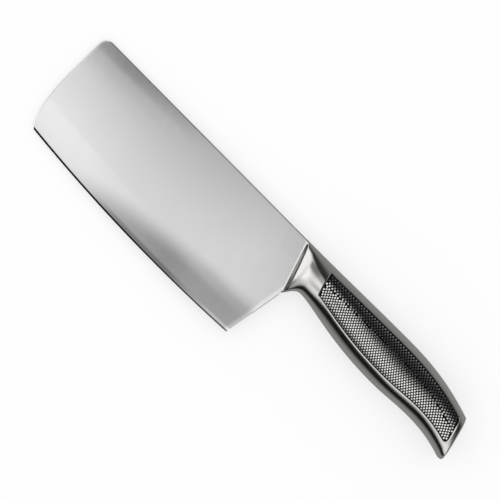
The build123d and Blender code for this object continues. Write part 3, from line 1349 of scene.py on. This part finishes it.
@dataclass
class Handle:
    """The steel skin of the handle: bolster, two half shells and cap, as one polished form."""

    form: HandleForm
    outline: PanelOutline
    seam_station: float = 12.0
    lip_height: float = 0.36
    lip_width: float = 0.9
    lip_tilt: float = 17.0
    collar_depths: tuple[float, ...] = (1.2, 2.3, 3.5, 4.6, 8.1, 19.0, 22.0, 25.0)
    collar_slopes: tuple[float, ...] = (28.0, 42.0, 49.0, 54.0, 59.0, 59.0, 57.0, 52.0)
    collar_end: float = 14.0
    collar_least: float = 1.0
    crease_round: float = 0.4
    apex_round: float = 0.12
    apex_depth: float = 7.0
    recess_depth: float = 0.9
    rim_roll: float = 0.2
    rim_width: float = 0.95
    wall_lean: float = 0.08
    cap_straight: float = 1.8
    cap_round: float = 0.8
    cap_reach: float = 0.82
    cap_steps: int = 13
    wall_steps: int = 4
    # Rows and stations: distances inside the panel's edges, and start, end and count of even runs.
    rim_marks: tuple[float, ...] = (
        -1.15, -0.95, -0.8, -0.64, -0.48, -0.33, -0.2, -0.1, -0.02, 0.07, 0.14, 0.3,
    )
    upper_marks: Run = (0.55, 3.2, 11)
    lower_marks: Run = (0.55, 2.6, 9)
    end_marks: Run = (0.55, 4.4, 16)
    row_counts: tuple[int, int, int] = (24, 26, 34)
    lip_run: Run = (0.0, 6.0, 52)
    collar_start: float = 6.3
    collar_count: int = 14
    # Gaps that a run keeps at its start and its end.
    shell_run: Run = (0.6, 1.5, 12)
    palm_run: Run = (0.8, 0.9, 104)
    cap_gap: float = 0.08
    front_depth: float = 15.0
    pull_full: float = 1.5
    pull_fade: float = 7.0
    slack: float = 0.01

    def __post_init__(self) -> None:
        """Lays out the stations of the skin, closer together where its form changes fast."""
        self.near_rim = np.array(self.rim_marks)
        self.front_mid = front = float(self.outline.front_station(np.array(self.front_depth)))
        close_end = self.outline.end_station - np.linspace(*self.end_marks)[::-1]
        far_rim = self.outline.end_station - self.near_rim[::-1]
        shell_start, shell_end, shell_count = self.shell_run
        palm_start, palm_end, palm_count = self.palm_run
        stations = np.concatenate([
            np.linspace(*self.lip_run),
            np.linspace(self.collar_start, self.seam_station, self.collar_count),
            np.linspace(self.seam_station + shell_start, front - shell_end, shell_count),
            front + self.near_rim,
            np.linspace(front + palm_start, close_end[0] - palm_end, palm_count),
            close_end,
            far_rim[far_rim < self.form.cap_station - self.cap_gap],
            [self.form.cap_station],
        ])
        self.seam_index = int(np.argmin(abs(stations - self.seam_station)))
        self.cap_index = len(stations) - 1
        rises, draws = self._cap_profile()
        self.insets = np.concatenate([np.zeros(len(stations)), draws[1:]])
        self.stations = np.concatenate([stations, self.form.cap_station + rises[1:] / self.form.butt_cos])

    def _cap_profile(self) -> tuple[np.ndarray, np.ndarray]:
        """Rise and draw-in of the cap's rounded rim and domed end.

        Returns:
            Rises and draws, in order.
        """
        turn = np.linspace(0, math.pi / 2, self.cap_steps)
        share = np.linspace(0, 1, self.cap_steps)[1:]
        shoulder = self.cap_straight + self.cap_round
        dome = self.form.cap_thickness + self.form.cap_dome - shoulder
        rises = np.concatenate([
            np.linspace(0, self.cap_straight, self.wall_steps, endpoint=False),
            self.cap_straight + self.cap_round * np.sin(turn),
            shoulder + dome * np.sin(share * math.pi / 2),
        ])
        draws = np.concatenate([
            np.zeros(self.wall_steps),
            self.cap_round * (1 - np.cos(turn)),
            self.cap_round + (self.form.butt_half * self.cap_reach - self.cap_round) * share,
        ])
        return rises, draws

    def _rows(self, station: float) -> np.ndarray:
        """Turns of the rows at a station, closer together at the panel's edges.

        Args:
            station: The station.

        Returns:
            Turns from the back to the belly.
        """
        top, low = (
            float(np.interp(station, self.form.stations, downs))
            for downs in (self.outline.top_downs, self.outline.low_downs)
        )
        marks = np.concatenate([
            top + self.near_rim,
            top + np.linspace(*self.upper_marks),
            low - np.linspace(*self.lower_marks)[::-1],
            low - self.near_rim[::-1],
        ])
        turns = self.form.turn_at(np.full(marks.shape, station), marks, np.zeros(marks.shape))
        upper = len(self.near_rim) + self.upper_marks[2]
        above, between, below = self.row_counts
        return np.concatenate([
            np.linspace(0, turns[0], above)[:-1],
            turns[:upper],
            np.linspace(turns[upper - 1], turns[upper], between)[1:-1],
            turns[upper:],
            np.linspace(turns[-1], 1, below)[1:],
        ])

    def skin(self) -> tuple[np.ndarray, np.ndarray]:
        """The skin all the way round, with its recess and collar.

        Returns:
            Grid of points with a ring for each station, the near half first, and its normals.
        """
        rows = [self._rows(min(float(station), self.form.cap_station)) for station in self.stations]
        turns = np.array(rows)
        stations, insets = (np.tile(line[:, None], turns.shape[1]) for line in (self.stations, self.insets))
        away = np.maximum(abs(self.stations - self.front_mid) - self.pull_full, 0) / self.pull_fade
        depths = -self.form.skin(stations, turns, insets)[..., 1]
        shift = self.outline.front_station(depths) - self.front_mid
        stations = stations + smooth(1 - away, 0.0, 1.0)[:, None] * shift
        points = self._collared(self._recessed(self.form.skin(stations, turns, insets), stations))
        ring = np.concatenate([points, points[:, -2:0:-1] * MIRROR], axis=1)
        normals = facings(ring)
        return ring, unit(normals * np.sign(normals[len(normals) // 2, points.shape[1] // 2, 2]))

    def _recessed(self, points: np.ndarray, stations: np.ndarray) -> np.ndarray:
        """Presses the recess of the panel into the skin.

        Args:
            points: Points of the skin.
            stations: Station of each.

        Returns:
            The pressed points.
        """
        inside = self.outline.inside(points[..., 0], -points[..., 1])
        inside = np.where(stations > self.form.cap_station + self.slack, -np.inf, inside)
        depth = self.rim_roll * np.clip(1 + inside / self.rim_width, 0, 1) ** 2
        depth = depth + (self.recess_depth - self.rim_roll) * np.clip(inside / self.wall_lean, 0, 1)
        sunk = self.form.height(stations, -points[..., 1] / np.cos(self.form.slant(stations)), depth)
        pressed = points.copy()
        pressed[..., 2] = np.where(inside > -self.rim_width, sunk, points[..., 2])
        return pressed

    def _collared(self, points: np.ndarray) -> np.ndarray:
        """Cuts the bolster's lip and the sloped step behind it.

        Args:
            points: Points of the skin.

        Returns:
            The cut points.
        """
        depth, z = -points[..., 1], points[..., 2]
        slant = float(self.form.slant(np.array(0.0)))
        behind = points[..., 0] * math.cos(slant) - depth * math.sin(slant)
        lip = BLADE_HALF + self.lip_height + np.clip(behind, 0, self.lip_width) * tan_of(self.lip_tilt)
        slope = np.radians(np.interp(depth, self.collar_depths, self.collar_slopes))
        limit = lip + np.maximum(behind - self.lip_width, 0) * np.tan(slope)
        crease = self.apex_round + (self.crease_round - self.apex_round) * smooth(depth, 0.0, self.apex_depth)
        gap = np.clip(0.5 + (limit - z) / (4 * crease), 0, 1)
        blended = z * gap + limit * (1 - gap) - crease * gap * (1 - gap) * 2
        cut = points.copy()
        cut[..., 2] = np.where((behind < self.collar_end) & (z > self.collar_least), blended, z)
        return cut

    def make(self, frame_map: FrameMap, material: bpy.types.Material) -> dict[str, bpy.types.Object]:
        """Builds the bolster, both shells and the cap.

        Args:
            frame_map: Where the side view lies in the frame.
            material: Their finish.

        Returns:
            The pieces by the name of the node that each stands for.
        """
        ring, normals = self.skin()
        rounds = {
            "bolster": slice(0, self.seam_index + 1),
            "butt_cap": slice(self.cap_index, len(self.stations)),
        }
        near = (slice(self.seam_index, self.cap_index + 1), slice(0, ring.shape[1] // 2 + 1))
        parts = [(node, ring[part], normals[part], None) for node, part in rounds.items()]
        parts += [
            (f"handle_shell_{side.name.lower()}", ring[near] * side.flip, normals[near] * side.flip, side)
            for side in Side
        ]
        pieces = {}
        for node, skin, out, side in parts:
            draft = MeshDraft()
            draft.grid(skin, out, closed=side is None)
            if side is not None:
                seam = np.stack([skin[:, 0], skin[:, -1]], axis=1)
                draft.grid(seam, np.zeros_like(seam) + np.array([0.0, 0.0, -float(side.value)]))
            draft.plate(skin[0], skin[1])
            draft.plate(skin[-1], skin[-2])
            pieces[node] = draft.build(f"cleaver_{node}", frame_map, material)
        return pieces


@dataclass
class GripPanel:
    """A black panel let into one shell."""

    outline: PanelOutline
    side: Side
    gap: float = 0.08
    sink: float = 0.2
    thickness: float = 0.62
    rim_round: float = 0.12
    rim_steps: int = 5
    shares: tuple[float, ...] = (0.02, 0.05, 0.1, 0.18, 0.28, 0.4, 0.52, 0.64, 0.76, 0.88, 0.999)
    inner_point: tuple[int, int] = (-4, 5)

    def lay(self, draft: MeshDraft, rings: Sequence[np.ndarray]) -> None:
        """Adds a face that looks outwards from rings of the near side.

        Args:
            draft: Mesh to add it to.
            rings: Rings from the edge inwards.
        """
        grid = np.stack(rings)
        normals = facings(grid)
        normals *= np.sign(normals[(*self.inner_point, 2)])
        draft.grid(grid * self.side.flip, normals * self.side.flip, closed=True)

    def make(self, frame_map: FrameMap, material: bpy.types.Material) -> bpy.types.Object:
        """Builds the panel.

        Args:
            frame_map: Where the side view lies in the frame.
            material: Its finish.

        Returns:
            The panel.
        """
        outline, base = self.outline, self.sink + self.thickness
        turns = np.linspace(0, math.pi / 2, self.rim_steps)
        levels = self.gap + self.rim_round * (1 - np.cos(turns))
        insets = self.sink + self.rim_round * (1 - np.sin(turns))
        steps = [(self.gap, base), *zip(levels, insets)]
        last = outline.loop(levels[-1])
        rings = [outline.form.lift(outline.loop(level), inset) for level, inset in steps]
        rings += outline.rings(last, self.shares, self.sink)
        draft = MeshDraft()
        self.lay(draft, rings)
        under = np.stack([rings[0], *outline.rings(last, self.shares[-1:], base)])
        down = np.zeros_like(under) + np.array([0.0, 0.0, -1.0])
        draft.grid(under * self.side.flip, down * self.side.flip, closed=True)
        return draft.build(f"cleaver_grip_panel_{self.side.name.lower()}", frame_map, material)


@dataclass
class DotField:
    """Rows of low steel studs that follow one edge of a panel, made by Geometry Nodes."""

    panel: GripPanel
    zone: Zone
    upper_pitch: float = 2.13
    lower_pitch: float = 1.93
    row_pitch: float = 1.19
    stagger: float = 0.5
    margin: float = 0.85
    upper_margin: float = 1.3
    lower_clearance: float = 0.2
    seam_overlap: float = 0.15
    radius: float = 0.56
    top_radius: float = 0.53
    rise: float = 0.11
    sunk_share: float = 0.2
    lean: float = 0.11
    upper_rows: int = 5
    rows: int = 17
    columns: int = 66
    segments: int = 12
    above: float = 50.0
    ray_length: float = 200.0

    def tree(self) -> bpy.types.NodeTree:
        """Builds the tree that lays the studs out and copies them.

        Returns:
            The tree.
        """
        tree = Wiring(bpy.data.node_groups.new("Dot Rows", "GeometryNodeTree"))
        numbers = ("Pitch", "Row Pitch", "First Row", "Way", "Face", "Clearance")
        numbers += ("Radius", "Top Radius", "Rise", "Lean")
        for kind, names in (
            (Socket.GEOMETRY, ("Geometry",)),
            (Socket.OBJECT, ("Guide", "Keep Off")),
            (Socket.NUMBER, numbers),
            (Socket.COUNT, ("Rows", "Columns", "Segments")),
            (Socket.MATERIAL, ("Material",)),
        ):
            tree.sockets("INPUT", kind, names)
        tree.sockets("OUTPUT", Socket.GEOMETRY, ("Geometry",))
        given = tree.add("NodeGroupInput")
        studs = tree.take("GeometryNodePoints", {
            "Count": given["Rows"] * given["Columns"],
            "Position": self._row_places(tree, given),
        })
        cast = tree.add("GeometryNodeRaycast", {
            "Target Geometry": given["Geometry"],
            "Ray Direction": tree.join(z=given["Face"] * -1.0),
            "Ray Length": self.ray_length * MM,
        }, data_type="FLOAT")
        tests = {0: cast["Is Hit"], 1: self._clear(tree, given)}
        off = tree.take("FunctionNodeBooleanMath", tests, operation="NAND")
        studs = tree.take("GeometryNodeDeleteGeometry", {"Geometry": studs, "Selection": off}, domain="POINT")
        facing = {"Name": "facing", "Value": cast["Hit Normal"]}
        store = "GeometryNodeStoreNamedAttribute"
        studs = tree.take(store, {"Geometry": studs, **facing}, data_type="FLOAT_VECTOR", domain="POINT")
        studs = tree.take("GeometryNodeSetPosition", {"Geometry": studs, "Position": cast["Hit Position"]})
        stored = tree.add("GeometryNodeInputNamedAttribute", {"Name": "facing"}, data_type="FLOAT_VECTOR")
        leaned = tree.vectors("ADD", stored["Attribute"], tree.join(y=given["Lean"] * -1.0))[0]
        aim = tree.take("FunctionNodeAlignEulerToVector", {"Vector": leaned}, axis="Z")
        copies = {"Points": studs, "Instance": self._stud(tree, given), "Rotation": aim}
        studs = tree.take("GeometryNodeInstanceOnPoints", copies)
        studs = tree.take("GeometryNodeRealizeInstances", {"Geometry": studs})
        studs = tree.take("GeometryNodeSetMaterial", {"Geometry": studs, "Material": given["Material"]})
        tree.add("NodeGroupOutput", {"Geometry": studs})
        return tree.tree

    def _line(self, tree: Wiring, thing: Value) -> Value:
        """Curve of a guide, where it was drawn."""
        return tree.add("GeometryNodeObjectInfo", {"Object": thing}, transform_space="ORIGINAL")["Geometry"]

    def _row_places(self, tree: Wiring, given: Made) -> Value:
        """Places beside the guide, above the panel.

        Args:
            tree: Tree to add to.
            given: Its inlet.

        Returns:
            Place of each point, from its number.
        """
        index = tree.take("GeometryNodeInputIndex")
        row = tree.maths("FLOOR", index / given["Columns"])
        column = index - row * given["Columns"]
        stagger = tree.maths("MODULO", row, 2.0) * self.stagger
        sample = tree.add("GeometryNodeSampleCurve", {
            "Curves": self._line(tree, given["Guide"]),
            "Length": (column + stagger) * given["Pitch"],
        }, mode="LENGTH", use_all_curves=True)
        side = tree.vectors("CROSS_PRODUCT", (0.0, 0.0, 1.0), sample["Tangent"])[0]
        out = (given["First Row"] + row * given["Row Pitch"]) * given["Way"]
        placed = tree.vectors("ADD", sample["Position"], tree.scaled(side, out))[0]
        return tree.vectors("ADD", placed, tree.join(z=given["Face"] * (self.above * MM)))[0]

    def _clear(self, tree: Wiring, given: Made) -> Value:
        """Whether each point is clear of the other field of dots, measured flat.

        Args:
            tree: Tree to add to.
            given: Its inlet.

        Returns:
            Yes or no.
        """
        thin_line = tree.take("GeometryNodeCurveToMesh", {"Curve": self._line(tree, given["Keep Off"])})
        flat = tree.vectors("MULTIPLY", tree.take("GeometryNodeInputPosition"), (1.0, 1.0, 0.0))[0]
        near = tree.add("GeometryNodeProximity", {0: thin_line, "Sample Position": flat}, target_element="EDGES")
        sizes = {0: near["Distance"], 1: given["Clearance"]}
        return tree.take("FunctionNodeCompare", sizes, data_type="FLOAT", operation="GREATER_THAN")

    def _stud(self, tree: Wiring, given: Made) -> Value:
        """One low stud with a flat top and a sloped side, its foot a little below the panel's face.

        Args:
            tree: Tree to add to.
            given: Its inlet.

        Returns:
            The stud.
        """
        cone = tree.add("GeometryNodeMeshCone", {
            "Vertices": given["Segments"],
            "Radius Top": given["Top Radius"],
            "Radius Bottom": given["Radius"],
            "Depth": given["Rise"],
        }, fill_type="NGON")
        drop = tree.join(z=given["Rise"] * -self.sunk_share)
        sunk = tree.take("GeometryNodeSetPosition", {"Geometry": cone["Mesh"], "Offset": drop})
        return tree.take("GeometryNodeSetShadeSmooth", {"Geometry": sunk, "Selection": cone["Side"]})

    def make(
        self,
        tree: bpy.types.NodeTree,
        surface: bpy.types.Object,
        guides: dict[Zone, bpy.types.Object],
        material: bpy.types.Material,
    ) -> bpy.types.Object:
        """Lays the dots of one field on the panel.

        Args:
            tree: Tree that lays them out.
            surface: Surface that the dots stand on.
            guides: Guide curves along the upper and the lower edge.
            material: Finish of the dots.

        Returns:
            The dots, as one plain mesh.
        """
        lower = self.zone is Zone.LOWER
        seam = self.upper_margin + (self.upper_rows - self.seam_overlap) * self.row_pitch
        values = {
            "Guide": guides[self.zone],
            "Keep Off": guides[Zone.UPPER if lower else Zone.LOWER],
            "Pitch": (self.lower_pitch if lower else self.upper_pitch) * MM,
            "Row Pitch": self.row_pitch * MM,
            "First Row": (self.margin if lower else self.upper_margin) * MM,
            "Way": 1.0 if lower else -1.0,
            "Face": float(self.panel.side.value),
            "Clearance": (seam if lower else self.lower_clearance) * MM,
            "Radius": self.radius * MM,
            "Top Radius": self.top_radius * MM,
            "Rise": self.rise * MM,
            "Lean": self.lean,
            "Rows": self.rows if lower else self.upper_rows,
            "Columns": self.columns,
            "Segments": self.segments,
            "Material": material,
        }
        carrier = add_object("dot_carrier", surface.data)
        modifier = carrier.modifiers.new("Dots", "NODES")
        modifier.node_group = tree
        for item in tree.interface.items_tree:
            if item.item_type == "SOCKET" and item.in_out == "INPUT" and item.name in values:
                modifier[item.identifier] = values[item.name]
        graph = bpy.context.evaluated_depsgraph_get()
        mesh = bpy.data.meshes.new_from_object(carrier.evaluated_get(graph))
        mesh.name = f"cleaver_dots_{self.zone.value}_{self.panel.side.name.lower()}"
        bpy.data.objects.remove(carrier)
        return add_object(mesh.name, mesh)


@dataclass
class DotGuides:
    """The lines and the surface that the dots of one panel follow."""

    panel: GripPanel
    frame_map: FrameMap
    margin: float = 0.66
    even_shares: tuple[float, float, int] = (0.0, 0.96, 33)
    last_share: float = 0.999
    before: float = 1.0
    beyond: float = 3.0
    points: int = 240

    def surface(self) -> bpy.types.Object:
        """The part of the panel's face that takes dots, short of its rim by the margin.

        Returns:
            The surface's object.
        """
        outline = self.panel.outline
        shares = np.append(np.linspace(*self.even_shares), self.last_share)
        draft = MeshDraft()
        self.panel.lay(draft, outline.rings(outline.loop(self.margin), shares, self.panel.sink))
        return draft.build("dot_surface", self.frame_map, bpy.data.materials.new("unseen"))

    def curve(self, line: np.ndarray, name: str) -> bpy.types.Object:
        """A line of the side view as a flat curve.

        Args:
            line: Reach and depth of its points.
            name: Name of the curve.

        Returns:
            The curve's object.
        """
        places = self.frame_map.place(np.stack([line[:, 0], -line[:, 1], np.zeros(len(line))], axis=1))
        places[:, 2] = 0.0
        data = bpy.data.curves.new(name, "CURVE")
        data.dimensions = "3D"
        spline = data.splines.new("POLY")
        spline.points.add(len(places) - 1)
        spline.points.foreach_set("co", np.concatenate([places, np.ones((len(places), 1))], axis=1).ravel())
        return add_object(name, data)

    def make(self) -> dict[Zone, bpy.types.Object]:
        """The guides along the upper and the lower edge, from front to end.

        Returns:
            One guide for each field.
        """
        outline = self.panel.outline
        start, end = outline.front_reach - self.before, outline.form.horn[0] + self.beyond
        guides = {}
        for zone, line in ((Zone.UPPER, outline.top_line), (Zone.LOWER, outline.low_line)):
            inside = (line[:, 0] > start) & (line[:, 0] < end)
            points = spread(line[inside], np.linspace(0, 1, self.points))
            guides[zone] = self.curve(points, f"guide_{zone.value}")
        return guides


# Studio


@dataclass
class Studio:
    """Floor, light tent and camera.

    Places and sizes of the side view are in millimetres as before, and those of the floor, the
    card and the tent in metres. The tent's lights lie between shares of its radius.
    """

    frame_map: FrameMap
    scale: float = 0.58
    pixels: int = 500
    lens: float = 200.0
    farthest_seen: float = 20.0
    roll: float = 45.32
    middle: Pair = (-19.0, 27.8)
    touch_reach: float = 84.0
    touch_half: float = 9.55
    tent_radius: float = 0.62
    tent_rings: int = 24
    tent_around: int = 64
    tent_turn: float = 33.0
    floor_size: float = 6.0
    floor_tone: float = 0.98
    floor_roughness: float = 0.9
    floor_glow: float = 0.62
    floor_drop: float = 0.0004
    card_tone: float = 0.30
    card_drop: float = 0.0002
    far_light: Pair = (0.06, 1.2)
    far_above: Pair = (0.40, 0.63)
    far_along: Pair = (-0.55, -0.38)
    far_across: Pair = (0.34, 0.62)
    over_along: Marks = (-0.43, -0.35, 0.03, 0.10)
    over_across: Pair = (0.18, 0.28)
    blade_glow: tuple[float, float, float, float, float, float] = (1.27, 3.55, 0.13, 33.0, 9.76, -63.6)
    glow_along: Pair = (-0.34, 0.05)
    glow_across: Pair = (-0.10, 0.10)
    glow_range: Pair = (0.22, 1.3)
    brightest: float = 2.0
    bands: tuple[Pair, ...] = (
        (-90, 0.27), (-81, 0.24), (-75, 0.225), (-69, 0.18), (-65, 0.13), (-61.5, 0.075), (-58, 0.035),
        (-55, 0.015), (-50, 0.006), (-38, 0.006), (-34, 0.04), (-32, 0.09), (-30, 0.25), (-28, 0.48),
        (-25, 0.68), (-21, 0.86), (-16, 1.00), (-12, 1.05), (-3, 0.98), (-1, 0.90), (1, 0.68), (3, 0.50),
        (5, 0.34), (7.5, 0.18), (10, 0.08), (12.5, 0.035), (20, 0.025), (27, 0.045), (34, 0.085),
        (42, 0.155), (52, 0.225), (65, 0.26),
    )

    def camera(self) -> None:
        """Looks square on the blade, with the knife running down to the right."""
        data = bpy.data.cameras.new("studio_camera")
        data.lens = self.lens
        data.clip_end = self.farthest_seen
        distance = self.scale * self.pixels * MM * self.lens / data.sensor_width
        x, y, z = self.frame_map.spot(self.middle[0], -self.middle[1], BLADE_HALF)
        camera = add_object("studio_camera", data)
        turn = Matrix.Rotation(math.radians(self.roll), 4, "Z")
        camera.matrix_world = Matrix.Translation((x, y, z + distance)) @ turn
        bpy.context.scene.camera = camera

    def sheet(self, name: str, half: float, drop: float, material: bpy.types.Material) -> bpy.types.Object:
        """Makes a square that slopes as the floor does, under the handle's swell and the blade's tip.

        Args:
            name: Name of the sheet.
            half: Half its width.
            drop: How far below the knife it lies.
            material: Its finish.

        Returns:
            The sheet.
        """
        low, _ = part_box("blade")
        reach, _, swell = self.frame_map.spot(self.touch_reach, 0.0, -self.touch_half)
        slope = (low.z - swell) / (low.x - reach)
        corners = [(x * half, y * half) for x, y in ((-1, -1), (1, -1), (1, 1), (-1, 1))]
        mesh = bpy.data.meshes.new(name)
        mesh.from_pydata([(x, y, swell + (x - reach) * slope - drop) for x, y in corners], [], [(0, 1, 2, 3)])
        mesh.materials.append(material)
        return add_object(name, mesh)

    def floor(self) -> None:
        """A wide pale floor that keeps a soft shadow."""
        floor = self.sheet("floor", self.floor_size / 2, self.floor_drop, self._floor_material())

    def _floor_material(self) -> bpy.types.Material:
        """Pale paper, a little lit from within where it is seen, so that it stays white.

        Returns:
            The material.
        """
        paint = Paint("pale_floor")
        colour = (self.floor_tone,) * 3 + (1.0,)
        inputs = {"Base Color": colour, "Roughness": self.floor_roughness, "Specular IOR Level": 0.0}
        paper = paint.take("ShaderNodeBsdfPrincipled", inputs)
        glow = paint.take("ShaderNodeEmission", {"Strength": 1.0})
        path = paint.add("ShaderNodeLightPath")
        seen = paint.maths("MAXIMUM", path["Is Camera Ray"], path["Is Glossy Ray"])
        seen = paint.maths("MAXIMUM", seen, path["Is Transmission Ray"])
        return paint.show(paint.take("ShaderNodeMixShader", {0: seen * self.floor_glow, 1: paper, 2: glow}))

    def tent(self) -> None:
        """A dome seen only in reflections, with a bright top between dark bands and grey sides."""
        around, radius = self.tent_around, self.tent_radius
        verts, faces = [], []
        for ring in range(self.tent_rings + 1):
            tilt = math.pi / 2 * ring / self.tent_rings
            flat, height = radius * math.sin(tilt), radius * math.cos(tilt)
            for step in range(around):
                angle, after = 2 * math.pi * step / around, (step + 1) % around
                verts.append((flat * math.cos(angle), flat * math.sin(angle), height))
                if ring:
                    above = (ring - 1) * around
                    faces.append((above + step, above + after, above + around + after, above + around + step))
        mesh = bpy.data.meshes.new("light_tent")
        mesh.from_pydata(verts, [], faces)
        mesh.materials.append(self._tent_material())
        tent = add_object("light_tent", mesh)
        only_reflected(tent)

    def _tent_material(self) -> bpy.types.Material:
        """Bands of light by the angle across the knife, with lights of their own over and beyond the blade.

        Returns:
            The material.
        """
        paint = Paint("tent_cloth")
        place = paint.place()
        _, y, z = paint.parts(paint.turned(place, self.tent_turn))
        degrees = paint.maths("ARCTAN2", y, z) * (HALF_TURN / math.pi)
        bands = paint.add("ShaderNodeValToRGB", {0: degrees / HALF_TURN + 0.5})
        elements = bands.node.color_ramp.elements
        while len(elements) > 1:
            elements.remove(elements[0])
        for number, (degree, value) in enumerate(self.bands):
            spot = degree / HALF_TURN + 0.5
            element = elements[0] if number == 0 else elements.new(spot)
            element.position = spot
            element.color = (value / self.brightest,) * 3 + (1.0,)
        along, across, above = (part / self.tent_radius for part in paint.parts(place))
        aside = paint.maths("ABSOLUTE", across)
        lights = (
            (along.ease(*self.far_along, 1.0, 0.0) * aside.ease(*self.far_across, 1.0, 0.0),
             above.ease(*self.far_above, *self.far_light)),
            (along.rise_and_fall(self.over_along) * aside.ease(*self.over_across, 1.0, 0.0),
             self._blade_light(along.held(*self.glow_along), across.held(*self.glow_across))),
        )
        light = bands[0] * self.brightest
        for share, other in lights:
            light = paint.take("ShaderNodeMix", {0: share, 2: light, 3: other}, data_type="FLOAT")
        return paint.show(paint.take("ShaderNodeEmission", {"Strength": light}))

    def _blade_light(self, along: Value, across: Value) -> Value:
        """Light straight over the blade, which grows from the spine's front corner to the edge.

        Args:
            along: Place along the knife, as a share of the dome's radius.
            across: Place across it.

        Returns:
            The light.
        """
        level, *weights = self.blade_glow
        first, *terms = (
            term * weight
            for term, weight in zip((along, across, along * across, along * along, across * across), weights)
        )
        light = first + level
        for term in terms:
            light = light + term
        return light.held(*self.glow_range)

    def under_card(self) -> None:
        """A grey card on the floor, seen only in reflections, that draws the metal's outline."""
        paint = Paint("grey_card")
        glow = paint.take("ShaderNodeEmission", {"Color": (self.card_tone,) * 3 + (1.0,)})
        card = self.sheet("under_card", self.tent_radius, self.card_drop, paint.show(glow))
        only_reflected(card)

    def light(self) -> None:
        """Even white surroundings."""
        world = bpy.data.worlds.new("studio_world")
        bpy.context.scene.world = world
        world.use_nodes = True
        background = world.node_tree.nodes["Background"]
        background.inputs["Color"].default_value = (1.0, 1.0, 1.0, 1.0)
        background.inputs["Strength"].default_value = 1.0

    def make(self) -> None:
        """Sets up the whole studio."""
        self.camera()
        self.floor()
        self.tent()
        self.under_card()
        self.light()
        bpy.context.scene.view_settings.view_transform = "Standard"


def only_reflected(thing: bpy.types.Object) -> None:
    """Shows an object in reflections alone."""
    for ray in ("camera", "diffuse", "shadow", "transmission", "volume_scatter"):
        setattr(thing, f"visible_{ray}", False)


def report(piece: bpy.types.Object) -> None:
    """Logs a finished piece and its faces."""
    log.info("%s: %d faces", piece.name, len(piece.data.polygons))


def main() -> None:
    """Builds every piece, dresses it and sets up the studio."""
    logging.basicConfig(level=logging.INFO, format="%(message)s")
    blade = Blade()
    low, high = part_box("blade")
    frame_map = FrameMap(Vector((low.x + blade.length * MM, low.y + blade.height * MM, (low.z + high.z) / 2)))
    effects = Effects()
    blade_steel = BladeFinish(
        steel=BLADE_STEEL,
        arc_centre=blade.arc_centre,
        arc_radius=blade.arc_radius,
        heel=blade.heel,
        heel_top=blade.heel_top,
    ).make(effects, frame_map)
    handle_steel = HANDLE_STEEL.make(effects)
    dot_steel = DOT_STEEL.make(effects)
    grip_black = GripFinish().make(effects)
    knife = blade.make(frame_map, blade_steel)
    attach(knife, "root")
    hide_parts("blade")
    report(knife)
    form = HandleForm()
    outline = PanelOutline(form)
    for node, piece in Handle(form, outline).make(frame_map, handle_steel).items():
        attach(piece, "root")
        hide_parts(node)
        report(piece)
    tree = None
    for side in Side:
        panel = GripPanel(outline, side)
        piece = panel.make(frame_map, grip_black)
        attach(piece, "root")
        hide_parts(f"grip_panel_{side.name.lower()}")
        report(piece)
        helper = DotGuides(panel, frame_map)
        surface, guides = helper.surface(), helper.make()
        for zone in Zone:
            dots_field = DotField(panel, zone)
            tree = tree or dots_field.tree()
            dots = dots_field.make(tree, surface, guides, dot_steel)
            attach(dots, "root")
            report(dots)
        for helper_object in (surface, *guides.values()):
            bpy.data.objects.remove(helper_object)
    Studio(frame_map).make()


if __name__ == "__main__":
    main()
